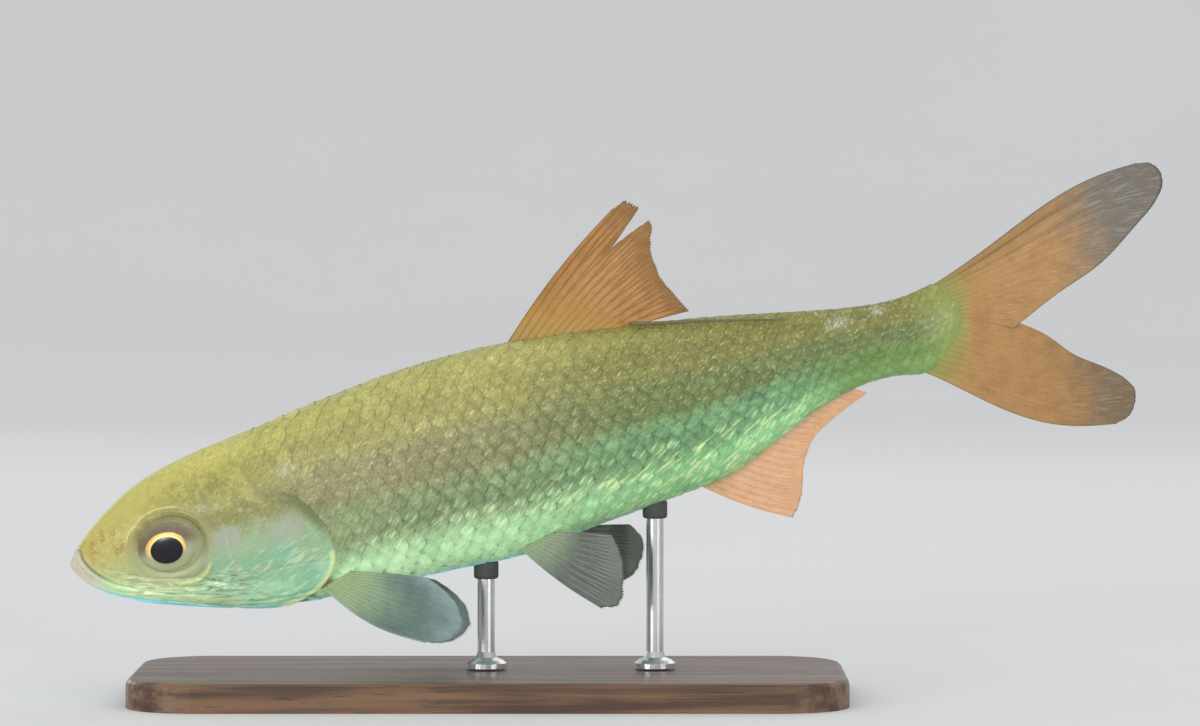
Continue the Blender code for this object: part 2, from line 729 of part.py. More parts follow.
def fish_parts():
    fish = list(body_parts().values())
    for side, word in ((LEFT, "left"), (RIGHT, "right")):
        fish.append(plate("gill_cover_" + word, GILL_COVER, side, GILL_COVER_DEPTH))
        fish.append(maxilla("maxilla_" + word, side))
        fish.append(eyeball("eye_" + word, side))
        fish.append(pectoral_fin("pectoral_fin_" + word, side))
    fish.append(pelvic_fin("pelvic_fin_left", LEFT, PELVIC_EDGE_LEFT))
    fish.append(pelvic_fin("pelvic_fin_right", RIGHT, PELVIC_EDGE_RIGHT))
    fish += [dorsal_fin(), dorsal_filament(), anal_fin(), *tail_lobes()]
    return fish


def main():
    for old in list(bpy.data.objects):
        bpy.data.objects.remove(old)
    finishes = {
        "head": finish("head_skin", HEAD_OLIVE, 0.4),
        "lower_jaw": finish("lip", LIP_PALE, 0.4),
        "gill": finish("gill_cover", SILVER_GREEN, 0.3, 0.3),
        "maxilla": finish("maxilla", LIP_PALE, 0.35, 0.2),
        "eye": finish("eye", EYE_BLACK, 0.1),
        "fi": finish("fin", FIN_GREY, 0.5),
        "stand_base": finish("stand_wood", WALNUT, 0.45),
        "stand_rod": finish("stand_steel", STEEL, 0.3, 1.0),
        "": finish("skin", SKIN_GREEN, 0.35, 0.2),
    }
    pose = link("pose", None)
    pose.location = SNOUT_AT * MM
    pose.rotation_euler = (0.0, -NOSE_DOWN, 0.0)
    fish = fish_parts()
    for made in fish:
        made.parent = pose
        for vertex in made.data.vertices:
            vertex.co = bent(vertex.co)
    rods = (("stand_rod_front", FRONT_ROD_BODY_X), ("stand_rod_rear", REAR_ROD_BODY_X))
    stand = [stand_base()] + [stand_rod(name, body_x) for name, body_x in rods]
    for made in fish + stand:
        made.data.transform(Matrix.Scale(MM, 4))
        made.data.materials.clear()
        made.data.materials.append(next(look for word, look in finishes.items() if word in made.name))
        made.data.shade_smooth()
        made.data.set_sharp_from_angle(angle=math.radians(40))


main()
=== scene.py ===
"""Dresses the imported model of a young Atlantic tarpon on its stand: skin, scales, eyes, fins and studio.

Shapes are worked out in millimetres in the frame of the straight fish, where x runs from the snout to the
tail, z is up and the left flank is at -y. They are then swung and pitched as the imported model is.
"""

import math
from types import SimpleNamespace

import bpy
import numpy as np
from mathutils import Matrix, Vector


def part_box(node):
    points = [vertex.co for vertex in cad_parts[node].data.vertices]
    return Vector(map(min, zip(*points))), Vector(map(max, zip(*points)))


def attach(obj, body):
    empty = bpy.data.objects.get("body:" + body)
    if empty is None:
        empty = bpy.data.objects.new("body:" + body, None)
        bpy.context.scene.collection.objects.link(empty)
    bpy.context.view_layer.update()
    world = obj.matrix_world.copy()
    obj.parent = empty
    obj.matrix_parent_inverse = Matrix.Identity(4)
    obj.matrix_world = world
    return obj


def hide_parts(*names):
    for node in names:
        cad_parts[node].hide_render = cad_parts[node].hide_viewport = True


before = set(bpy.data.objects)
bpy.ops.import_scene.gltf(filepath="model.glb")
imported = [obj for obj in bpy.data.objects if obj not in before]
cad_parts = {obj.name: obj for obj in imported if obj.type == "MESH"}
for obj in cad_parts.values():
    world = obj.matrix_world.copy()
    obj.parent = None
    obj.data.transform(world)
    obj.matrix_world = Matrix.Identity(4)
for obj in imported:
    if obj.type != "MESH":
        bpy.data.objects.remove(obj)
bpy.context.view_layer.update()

bl_info = {
    "name": "Swimming tarpon on a stand",
    "version": (1, 0, 0),
    "blender": (4, 5, 0),
    "location": "3D View > Sidebar > Tarpon",
    "description": "Builds skin, scales, eyes, fins and stand of a life-size young Atlantic tarpon",
    "category": "Add Mesh",
}

MM = 0.001
BODY = "root"
LEFT, RIGHT = -1, 1
SIDES = ((LEFT, "left"), (RIGHT, "right"))
TURN = 2 * math.pi

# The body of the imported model: x, top, bottom and half width at each station.
STATIONS = np.array((
    (0, -0.6, -0.6, 0), (0.8, 1, -2.6, 1.5), (2.4, 2.5, -4.6, 2.6), (5, 4.8, -6.7, 3.7), (8.5, 7.2, -8.7, 4.7),
    (13, 9.7, -10.6, 5.7), (18, 11.5, -12.3, 6.7), (24, 12.9, -14.2, 7.9), (32, 14.1, -16.3, 9.3),
    (40, 15.3, -17.1, 10.2), (50, 16.8, -17.4, 10.7), (64, 18.2, -18, 10.9), (77, 18.5, -18.5, 10.7),
    (90, 17.6, -16.8, 10.1), (103, 15.9, -15.6, 9.1), (114, 14.4, -14.2, 7.8), (124, 12.6, -10.6, 6.5),
    (133, 10.8, -6.9, 5.2), (141, 9.3, -4.9, 4.1), (148, 8.5, -4.8, 3.3), (152, 8.5, -5.6, 2.8),
    (155.5, 9, -4.7, 2.3), (157.8, 9.3, -3.4, 1.9), (159.8, 7.8, -1.4, 1.5), (161.2, 5.6, 0.6, 1.1), (162, 3, 3, 0),
))
BODY_LENGTH = STATIONS[-1][0]
WIDEST_AT = 0.52
SQUARENESS = 2.2

# The skin's grid: rings up to the gills and behind them, and faces round the body. Behind RELIEF_END it has no relief.
HEAD_END = 47.0
HEAD_RINGS = 196
TRUNK_RINGS = 120
SKIN_SIDES = 276
RELIEF_END = 54.0
MERGE_DISTANCE = 0.0004

# Lines of the head in side view.
MOUTH_LINE = (
    (1, 2.7), (2.2, 2), (2.6, 0), (3.4, -1.7), (4.8, -3.4), (6.6, -5), (10, -7), (14, -8.8), (20, -10.6), (25.4, -12),
)
MAXILLA_WIDTHS = ((4.5, 0.9), (8, 1.5), (12.5, 2), (17, 2.4), (22, 2.7), (25.6, 1.7))
GILL_EDGE = (
    (31.5, 14.8), (33.2, 10.5), (35.2, 6.2), (38.6, 3.2), (42, 1), (44.7, -3.2), (45.9, -7.4), (45, -11.4),
    (42, -14.6), (37.6, -16.3), (31, -17.4),
)
PREOPERCLE = ((29.4, 2.6), (28.4, -1.5), (28.2, -6), (29.2, -10), (32, -13.2), (36.5, -14.9))
SUBOPERCLE = ((31, -10.6), (35, -9.6), (40, -9.8), (45, -10.6))
CHEEK_FOLD = ((17.2, -7.8), (19.6, -8.2), (21.8, -8), (23.3, -7.2), (24.2, -6.2), (24.6, -5))
NOSTRILS = ((6.9, 2.9), (9, 3.3))
NOSTRIL_RADIUS = 0.6

EYE_AT = (18.3, -1.2)
EYE_RADIUS = 5.9
EYE_HEIGHT_RATIO = 0.84
EYE_SECTION = (
    (0, 0.85), (2, 0.77), (3.8, 0.47), (5.2, 0.02), (5.95, -0.42), (5.8, -1.2), (4.4, -2.6), (2.2, -3.3), (0, -3.5),
)
EYE_RINGS = 60
EYE_SIDES = 96
PUPIL_AT = (-0.6, -0.6)

# Worn places, sores and lilac patches: x, z and size.
WORN_SPOTS = ((139.6, 7.2, 3.2), (146.7, 7.4, 2.2), (41.3, 6.6, 3))
SORE_SPOT = (42.9, -14.5, 1.9)
LILAC_SPOTS = ((28.2, -2.2, 4.2), (38.6, -3.4, 5))

# How a scale's outline grows, how much its turn, its place along and across and its size vary, and its reach over
# the next row.
SCALE_GROWTHS = (1.56, 1.2, 1.068)
SCALE_VARIES = (0.07, 0.05, 0.045, 0.035)
ROW_OVERLAP = 1.06

# Rows are as high as set where the body rises this far over its widest line, and shrink with it by this power.
FULL_RISE = 24.0
ROW_SHRINK = 0.62
FLANK_ROWS = range(-14, 15)

# Seeds of the random draws of each flank and of the ridges, and the layout of the scales' picture coordinates.
LEFT_SEED, RIGHT_SEED, RIDGE_SEED = 7, 19, 31
UV_MARGIN, UV_SPAN, UV_SCALE = 0.02, 0.96, 0.0015

# Where rows of scales begin and end, and how they narrow towards the tail.
FIRST_SCALE = 31.0
LAST_SCALE = 161.5
NARROWER = 0.36
NARROWS = (118.0, 158.0)
BACK_SCALES = (32.5, 157.0)
BELLY_SCALES = (43.0, 153.0)

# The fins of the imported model. A third value of a point is its distance aside.
DORSAL_BASE = (82.9, 103.0)
DORSAL_EDGE = (
    (107.3, 36.3), (109.4, 36.9), (111.4, 35.6), (112.9, 32.2), (111.9, 28.4), (111.8, 24), (115.4, 15.4),
)
ANAL_BASE = (109.4, 139.4)
ANAL_EDGE = ((124.3, -24.3), (126.6, -20.6), (128.2, -15.6), (131, -11.5), (135, -9.2), (142, -6.3))
UPPER_LOBE_BASE = ((157.2, 8.9), (158, 8.3), (159.1, 7.1), (160.2, 5.5), (160.9, 3.7), (161, 2.2))
UPPER_LOBE_EDGE = (
    (199.6, 20.6, 2), (202.3, 19.9, 2), (203.6, 17.8, 2), (203.3, 15.6, 2), (201.5, 13.4, 2), (196.2, 9.7, 1.8),
    (188.6, 5.2, 1.3), (178.7, 1.7, 0.8), (169.9, -1.9, 0.1),
)
LOWER_LOBE_BASE = ((152.8, -5.5), (155, -4.1), (157.2, -2.6), (159.3, -0.7), (160.5, 1), (161, 2.7))
LOWER_LOBE_EDGE = (
    (187.6, -23.8, 13.7), (190.6, -23.1, 14.6), (192.4, -21.2, 15), (192.8, -18.9, 14.2), (191.4, -16.7, 13),
    (188.3, -14.2, 10.5), (180.7, -9.3, 5.5), (175.1, -4, 1.8), (169.9, -0.3, 0.1),
)
PECTORAL_BASE = ((42.4, -15.4), (44.2, -14.8), (46.2, -14), (47.8, -13.2))
PECTORAL_EDGE = (
    (57.4, -28.3, 12.8), (61.6, -28.8, 14.5), (64.5, -26.9, 15.4), (64.7, -23.8, 15.2), (63, -20.2, 14),
    (60.6, -17.4, 12.6),
)
PECTORAL_LOWERED = 2.2
PECTORAL_FOLDED_IN = 0.8
PELVIC_BASE = ((76.9, -17.2), (79, -16.8), (81.2, -16.2), (83.2, -15.5))
PELVIC_EDGES = {
    LEFT: ((87.8, -30.3, 9.6), (90.8, -30.4, 10.6), (92.7, -26.6, 11), (93.4, -22, 10.4), (92.8, -18.4, 9.4)),
    RIGHT: ((91.6, -28, 9.2), (94.6, -27.6, 10), (97.2, -24.8, 10.6), (98, -21.6, 10.4), (96.4, -18.6, 9.6)),
}
ROOT_LIFT = 0.30
ROOT_DEPTH = 0.55
FILAMENT_FROM = 104.4
FILAMENT_TO = 130.5
FILAMENT_DROP = (0.3, 1.7)
FILAMENT_RINGS = 150
FILAMENT_SIDES = 12

# The pads on the rods, in millimetres. PAD_LOWERED is how far a pad's middle lies below the rod's top.
PAD_RADIUS = 2.15
PAD_HEIGHT = 3.2
PAD_LOWERED = 0.9
PAD_EASED = 0.5

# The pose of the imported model.
NOSE_DOWN = math.radians(14.5)
BEND_FROM = 70.0
BEND_TO = 200.0
BEND_ANGLE = math.radians(13.0)
BEND_GROWTH = 1.4
SNOUT_AT = np.array((-73.0, 0.0, 23.6))

# The floor's curve up to the wall, and the lamps: place, size, power, spread in degrees and colour.
FLOOR_RADIUS = 1.9
COVE_RADIUS = 1.1
COVE_STEPS = 8
LAMPS = {
    "key": ((-0.50, -1.10, 0.42), 0.60, 0.48, 100, (1, 0.985, 0.95)),
    "fill": ((0.75, -1.10, 0.30), 0.46, 0.20, 100, (0.95, 0.98, 1)),
    "low_left": ((-0.50, -0.72, 0.11), 0.15, 0.145, 50, (1, 1, 1)),
    "low_right": ((0.56, -0.75, 0.11), 0.15, 0.085, 50, (1, 1, 1)),
    "rim": ((0.45, 0.95, 0.70), 0.60, 0.34, 100, (1, 0.97, 0.93)),
    "back": ((-0.64, 1.05, 0.36), 0.46, 0.34, 100, (1, 1, 1)),
}
LAMPS_AIM = Vector((0.02, 0.0, 0.065))
ROOM_LIGHT = {"Color": (0.92, 0.95, 1, 1), "Strength": 0.78}

# The camera, matched to the photograph.
VIEW_TARGET = Vector((0.019248, 0.0, 0.058366))
VIEW_DISTANCE = 0.9
VIEW_ELEVATION = math.radians(2.0)
VIEW_LENS = 155.4


# Settings


def length(name, description, default, smallest=0.0):
    return bpy.props.FloatProperty(
        name=name, description=description, default=default, min=smallest, subtype="DISTANCE", unit="LENGTH",
        precision=5,
    )


def colour(name, description, default):
    return bpy.props.FloatVectorProperty(
        name=name, description=description, default=default, size=3, min=0.0, max=1.0, subtype="COLOR",
    )


class TarponSkinSettings(bpy.types.PropertyGroup):
    coat_depth: length("Coat depth", "How far the skin lies below the outer face of the scales", 0.00032)
    back: colour("Back", "Olive of the back", (0.47, 0.445, 0.135))
    nape: colour("Nape", "Yellow-green of the nape and the top of the head", (0.60, 0.55, 0.135))
    band: colour("Band", "Mauve brown band under the back", (0.285, 0.275, 0.13))
    flank: colour("Flank", "Grey green of the flank", (0.285, 0.355, 0.175))
    teal: colour("Rear flank", "Teal green of the flank towards the tail", (0.185, 0.365, 0.17))
    belly: colour("Belly", "Mint of the belly", (0.56, 0.92, 0.52))
    # The keel's sky blue is its own colour, painted brighter as painted light from below.
    keel_and_underlight: colour("Keel", "Sky blue edge of the belly", (0.20, 0.70, 0.84))
    blotch: colour("Blotches", "Dark green blotches along the flank", (0.10, 0.19, 0.085))
    snout: colour("Snout", "Golden brown of the snout", (0.52, 0.475, 0.13))
    cheek: colour("Cheek", "Mint silver of cheek and gill cover", (0.36, 0.53, 0.31))
    lilac: colour("Lilac", "Lilac pink patches of the cheek", (0.42, 0.43, 0.37))
    lip: colour("Lip", "Pale pink of the lower jaw", (0.60, 0.56, 0.42))


class TarponScaleSettings(bpy.types.PropertyGroup):
    pitch: length("Scale pitch", "Distance from one scale to the next in a row", 0.0029, 0.001)
    row: length("Row height", "Distance from one row of scales to the next", 0.0025, 0.001)
    thickness: length("Thickness", "Thickness of a scale", 0.00007, 0.00001)


class TarponEyeSettings(bpy.types.PropertyGroup):
    pupil_length: length("Pupil length", "Length of the pupil", 0.0059, 0.001)
    pupil_height: length("Pupil height", "Height of the pupil", 0.0046, 0.001)
    gold: colour("Gold ring", "Metallic ring round the pupil", (0.85, 0.62, 0.18))
    upper: colour("Upper iris", "Pinkish brown of the upper iris", (0.155, 0.10, 0.058))
    lower: colour("Lower iris", "Pale green of the lower iris", (0.42, 0.47, 0.27))


class TarponFinSettings(bpy.types.PropertyGroup):
    membrane: length("Membrane", "Half the thickness of a fin's membrane", 0.00008, 0.00001)
    ray: length("Ray", "Half the thickness of a ray at its root", 0.00022, 0.00001)
    opacity: bpy.props.FloatProperty(
        name="Opacity", description="How much the membrane hides what is behind it", default=0.42, min=0.0, max=1.0,
        subtype="FACTOR",
    )
    dorsal: colour("Dorsal fin", "Warm brown of the dorsal fin", (0.58, 0.27, 0.06))
    tail: colour("Tail fin", "Pinkish tan of the tail fin", (0.53, 0.285, 0.105))
    anal: colour("Anal fin", "Pale orange pink of the anal fin", (0.90, 0.44, 0.165))
    paired: colour("Pectoral fins", "Blue grey of the pectoral fins", (0.165, 0.26, 0.225))
    pelvic: colour("Pelvic fins", "Smoky grey of the pelvic fins", (0.085, 0.105, 0.085))


class TarponStandSettings(bpy.types.PropertyGroup):
    light_wood: colour("Light wood", "Lighter grain of the base", (0.20, 0.105, 0.05))
    dark_wood: colour("Dark wood", "Darker grain of the base", (0.07, 0.032, 0.016))
    steel: colour("Steel", "Brushed steel of the rods", (0.62, 0.62, 0.63))
    floor: colour("Floor", "Pale floor of the studio", (0.86, 0.85, 0.83))


# Curves


def smooth_through(keys, values, wanted):
    """A smooth curve through the given values, read at the wanted keys."""
    keys = np.asarray(keys, float)
    values = np.asarray(values, float)
    slopes = np.gradient(values, keys, axis=0)
    wanted = np.clip(wanted, keys[0], keys[-1])
    cell = np.clip(np.searchsorted(keys, wanted) - 1, 0, len(keys) - 2)
    span = keys[cell + 1] - keys[cell]
    t = (wanted - keys[cell]) / span
    if values.ndim > 1:
        span = np.expand_dims(span, -1)
        t = np.expand_dims(t, -1)
    from_start = (1 + 2 * t) * (1 - t) ** 2 * values[cell] + t * (1 - t) ** 2 * span * slopes[cell]
    from_end = t**2 * (3 - 2 * t) * values[cell + 1] + t**2 * (t - 1) * span * slopes[cell + 1]
    return from_start + from_end


def distances(points):
    return np.concatenate([[0.0], np.cumsum(np.linalg.norm(np.diff(points, axis=0), axis=1))])


def along(points, count):
    """That many points, evenly spread, on a smooth curve through the given ones."""
    points = np.asarray(points, float)
    keys = distances(points)
    return smooth_through(keys, points, np.linspace(0.0, keys[-1], count))


def unit(vectors):
    return vectors / np.maximum(np.linalg.norm(vectors, axis=-1, keepdims=True), 1e-12)


def rise(value, low, high):
    """A smooth step from 0 at low to 1 at high."""
    t = np.clip((value - low) / (high - low), 0.0, 1.0)
    return t * t * (3 - 2 * t)


def hump(value, centre, width):
    return np.exp(-(((value - centre) / width) ** 2))


def beside(x, z, line, steps=70):
    """Distance from a line of the side view, positive to the left of its direction."""
    line = along(line, steps)
    nearest = np.full(x.shape, 1e9)
    signed = np.zeros(x.shape)
    for (ax, az), (bx, bz) in zip(line, line[1:]):
        dx, dz = bx - ax, bz - az
        t = np.clip(((x - ax) * dx + (z - az) * dz) / (dx * dx + dz * dz), 0.0, 1.0)
        distance = np.hypot(x - ax - dx * t, z - az - dz * t)
        way = np.where(dx * (z - az) - dz * (x - ax) >= 0, 1.0, -1.0)
        signed = np.where(distance < nearest, distance * way, signed)
        nearest = np.minimum(nearest, distance)
    return signed


def stacked(*columns):
    return np.stack(np.broadcast_arrays(*columns), axis=-1)


# The surface of the straight body


def body_key(x):
    """Length along the body, stretched at both ends so that they come out round."""
    return np.arcsin(np.sqrt(np.clip(np.asarray(x, float) / BODY_LENGTH, 0.0, 1.0)))


STATION_KEYS = body_key(STATIONS[:, 0])


def sections(x):
    """Top, bottom, half width and height of the widest line at each x."""
    sizes = smooth_through(STATION_KEYS, STATIONS[:, 1:], body_key(x))
    top, bottom, half = sizes[..., 0], sizes[..., 1], np.maximum(sizes[..., 2], 0.0)
    return top, bottom, half, bottom + WIDEST_AT * (top - bottom)


def height_share(x, z):
    """Height on the body, from 0 at the belly to 1 at the back."""
    top, bottom, _, _ = sections(x)
    return (z - bottom) / np.maximum(top - bottom, 0.5)


def body_point(x, angle):
    """Points of the body at x, at an angle from the belly at -90 degrees up the left side to the back."""
    top, bottom, half, middle = sections(x)
    across, up = (np.sign(part) * np.abs(part) ** (2 / SQUARENESS) for part in (np.cos(angle), np.sin(angle)))
    reach = np.where(up > 0, top - middle, middle - bottom)
    return stacked(x, LEFT * half * across, middle + reach * up)


def body_normal(x, angle):
    low, high = np.clip(x - 0.2, 0.02, BODY_LENGTH - 0.05), np.clip(x + 0.2, 0.05, BODY_LENGTH - 0.02)
    lengthways = body_point(high, angle) - body_point(low, angle)
    upwards = body_point(x, angle + 0.02) - body_point(x, angle - 0.02)
    return unit(np.cross(lengthways, upwards))


def half_width(x, z):
    """How far the skin stands from the middle plane at a point of the side view."""
    top, bottom, half, middle = (float(value) for value in sections(x))
    reach = top - middle if z > middle else middle - bottom
    ratio = min(abs(z - middle) / max(reach, 1e-6), 1.0)
    return half * (1.0 - ratio**SQUARENESS) ** (1.0 / SQUARENESS)


def skin_normal(x, z, side):
    gap = 0.15
    slope_x = (half_width(x + gap, z) - half_width(x - gap, z)) / (2 * gap)
    slope_z = (half_width(x, z + gap) - half_width(x, z - gap)) / (2 * gap)
    return Vector((-slope_x, side, -slope_z)).normalized()


def on_skin(x, z, side, lift=0.0):
    """The point of the skin seen at x and z from one side, raised along the skin's normal."""
    return Vector((x, side * half_width(x, z), z)) + skin_normal(x, z, side) * lift


def skin_frame(place, side):
    """A matrix whose z axis is the skin's normal and whose x axis runs along the body."""
    normal = skin_normal(*place, side)
    tailward = (Vector((1, 0, 0)) - normal * normal.x).normalized()
    matrix = Matrix((tailward, normal.cross(tailward), normal)).transposed().to_4x4()
    matrix.translation = on_skin(*place, side)
    return matrix


# Pose


def bend_table():
    """Angle, forward and sideways place along the swung middle line, at even steps of the straight fish."""
    reach = np.linspace(-10.0, BEND_TO + 20.0, 400)
    swing = np.clip((reach - BEND_FROM) / (BEND_TO - BEND_FROM), 0.0, 1.3)
    yaw = BEND_ANGLE * swing**BEND_GROWTH
    gap = reach[1] - reach[0]
    between = (yaw[1:] + yaw[:-1]) / 2
    forward = reach[0] + np.concatenate([[0.0], np.cumsum(np.cos(between) * gap)])
    sideways = np.concatenate([[0.0], np.cumsum(np.sin(between) * gap)])
    return reach, yaw, forward, sideways


BEND = bend_table()


def swimming(points):
    """Points of the straight fish where they are over the stand, in metres."""
    x, y, z = np.asarray(points, float).T
    yaw, forward, sideways = (np.interp(x, BEND[0], column) for column in BEND[1:])
    swung = np.column_stack([forward - y * np.sin(yaw), sideways + y * np.cos(yaw), z])
    turn = np.array(Matrix.Rotation(-NOSE_DOWN, 3, "Y"))
    return (swung @ turn.T + SNOUT_AT) * MM


# Meshes


def select_only(piece=None):
    """Leaves object mode with nothing selected but this piece."""
    if bpy.context.mode != "OBJECT":
        bpy.ops.object.mode_set(mode="OBJECT")
    bpy.ops.object.select_all(action="DESELECT")
    if piece:
        piece.select_set(True)
        bpy.context.view_layer.objects.active = piece


def edit(piece):
    """Opens one piece in edit mode with all of it selected."""
    select_only(piece)
    bpy.ops.object.mode_set(mode="EDIT")
    bpy.ops.mesh.select_all(action="SELECT")


def named(name):
    piece = bpy.context.object
    piece.name = piece.data.name = name
    return piece


def store(piece, name, values):
    """Keeps a vector at each point, for the materials to read."""
    kept = piece.data.attributes.new(name, "FLOAT_VECTOR", "POINT")
    kept.data.foreach_set("vector", np.ascontiguousarray(values, np.float32).ravel())


def set_swimming(piece):
    """Moves a piece from the straight fish's frame to its place over the stand."""
    points = np.empty(len(piece.data.vertices) * 3, np.float32)
    piece.data.vertices.foreach_get("co", points)
    placed = swimming(points.reshape(-1, 3))
    piece.data.vertices.foreach_set("co", placed.astype(np.float32).ravel())
    piece.data.update()


def sheet(name, points, kept):
    """A grid whose points are moved to their places over the stand. Points that meet are merged, which closes it."""
    rows, columns = points.shape[:2]
    select_only()
    bpy.ops.mesh.primitive_grid_add(x_subdivisions=columns - 1, y_subdivisions=rows - 1, size=1.0)
    piece = named(name)
    piece.data.vertices.foreach_set("co", np.ascontiguousarray(points, np.float32).ravel())
    for key, values in kept.items():
        store(piece, key, values)
    edit(piece)
    bpy.ops.mesh.remove_doubles(threshold=MERGE_DISTANCE)
    bpy.ops.mesh.normals_make_consistent(inside=False)
    bpy.ops.object.mode_set(mode="OBJECT")
    set_swimming(piece)
    return piece


def dress(piece, material, smooth=None, replaced=()):
    """Gives a finished piece its material and its body."""
    piece.data.materials.clear()
    piece.data.materials.append(material)
    select_only(piece)
    if smooth is None:
        bpy.ops.object.shade_smooth()
    else:
        bpy.ops.object.shade_smooth_by_angle(angle=math.radians(smooth))
    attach(piece, BODY)
    if replaced:
        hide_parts(*replaced)


# Materials


class Socket:
    """An output of a material's node. Sums, products and shares of it add Math nodes."""

    def __init__(self, recipe, socket):
        self.recipe = recipe
        self.socket = socket

    def __add__(self, other):
        return calculate("ADD", self, other)

    def __sub__(self, other):
        return calculate("SUBTRACT", self, other)

    def __rsub__(self, other):
        return calculate("SUBTRACT", other, self)

    def __mul__(self, other):
        return calculate("MULTIPLY", self, other)

    def __truediv__(self, other):
        return calculate("DIVIDE", self, other)

    __radd__ = __add__
    __rmul__ = __mul__


class Recipe:
    """A material and the nodes that its expressions add."""

    def __init__(self, name):
        self.material = bpy.data.materials.new(name)
        self.material.use_nodes = True
        self.tree = self.material.node_tree
        self.tree.nodes.clear()

    def node(self, kind, settings=None, inputs=None, output=0):
        """Adds a node: its settings first, then the values or links of its sockets."""
        made = self.tree.nodes.new(kind)
        for key, value in (settings or {}).items():
            setattr(made, key, value)
        for key, value in (inputs or {}).items():
            if isinstance(value, Socket):
                self.tree.links.new(value.socket, made.inputs[key])
            else:
                made.inputs[key].default_value = value
        return Socket(self, made.outputs[output]) if made.outputs else None

    def kept(self, name):
        """A vector that the mesh keeps at its points, and its three parts."""
        vector = self.node("ShaderNodeAttribute", {"attribute_name": name}, None, 1)
        return vector, *parts(vector)

    def own_place(self):
        return self.node("ShaderNodeTexCoord", None, None, 3)

    def finish(self, tint, roughness, height, strength, distance, gloss=(0.5, 0, 0.03), more=None):
        """Sets the surface shader, with the relief of a height. Gloss is specular level, coat and coat roughness."""
        bump = self.node("ShaderNodeBump", None, {"Strength": strength, "Distance": distance, "Height": height})
        names = ("Base Color", "Roughness", "Normal", "Specular IOR Level", "Coat Weight", "Coat Roughness")
        inputs = dict(zip(names, (tint, roughness, bump, *gloss))) | (more or {})
        shader = self.node("ShaderNodeBsdfPrincipled", None, inputs)
        self.node("ShaderNodeOutputMaterial", None, {"Surface": shader})
        self.material.cycles.emission_sampling = "NONE"
        return self.material


def calculate(operation, *values):
    recipe = next(value.recipe for value in values if isinstance(value, Socket))
    return recipe.node("ShaderNodeMath", {"operation": operation}, dict(enumerate(values)))


def sine(value):
    return calculate("SINE", value)


def greater(first, second):
    return calculate("MAXIMUM", first, second)


def far(across, up):
    return calculate("SQRT", across * across + up * up)


def off_spot(x, z, at_x, at_z, size):
    """Distance from an oval spot's middle, as a share of its size."""
    return far((x - at_x) / size, (z - at_z) / (0.7 * size))


def opaque(tint):
    return tint if isinstance(tint, Socket) else (*tint[:3], 1)


def mix(factor, first, second):
    """A colour that goes from the first to the second."""
    settings = {"data_type": "RGBA", "clamp_factor": True}
    return factor.recipe.node("ShaderNodeMix", settings, {0: factor, 6: opaque(first), 7: opaque(second)}, 2)


def layers(tint, *laid):
    """A colour with others laid over it in turn, each given as its strength and itself."""
    for strength, over in laid:
        tint = mix(strength, tint, over)
    return tint


def times(factor, tint):
    """A colour multiplied by a value."""
    if isinstance(factor, Socket):
        grey = factor.recipe.node("ShaderNodeCombineColor", None, dict.fromkeys(range(3), factor))
    elif isinstance(tint, Socket):
        grey = opaque((factor,) * 3)
    else:
        return [factor * part for part in tint]
    settings = {"data_type": "RGBA", "blend_type": "MULTIPLY", "clamp_factor": True}
    recipe = factor.recipe if isinstance(factor, Socket) else tint.recipe
    return recipe.node("ShaderNodeMix", settings, {0: 1, 6: opaque(tint), 7: grey}, 2)


def step(value, low, high):
    """A smooth step from 0 at low to 1 at high. Low may be the greater of the two."""
    ends = (low, high, 0, 1) if low <= high else (high, low, 1, 0)
    inputs = dict(enumerate((value, *ends)))
    return value.recipe.node("ShaderNodeMapRange", {"interpolation_type": "SMOOTHSTEP"}, inputs)


def band(value, centre, width):
    """1 at the centre, falling to 0 at that distance on both sides."""
    return step(calculate("ABSOLUTE", value - centre), width, 0)


def parts(vector):
    return [vector.recipe.node("ShaderNodeSeparateXYZ", None, {0: vector}, n) for n in range(3)]


def joined(recipe, *values):
    return recipe.node("ShaderNodeCombineXYZ", None, dict(enumerate(values)))


def stretched(vector, scale, turn=0):
    """Coordinates turned about y by degrees, then scaled along each axis."""
    inputs = {"Vector": vector, "Rotation": (0, math.radians(turn), 0)}
    turned = vector.recipe.node("ShaderNodeVectorRotate", {"rotation_type": "EULER_XYZ"}, inputs)
    return vector.recipe.node("ShaderNodeVectorMath", {"operation": "MULTIPLY"}, {0: turned, 1: scale})


def noise(vector, scale, detail=3, roughness=0.5, distortion=0):
    names = ("Vector", "Scale", "Detail", "Roughness", "Distortion")
    inputs = dict(zip(names, (vector, scale, detail, roughness, distortion)))
    return vector.recipe.node("ShaderNodeTexNoise", None, inputs)


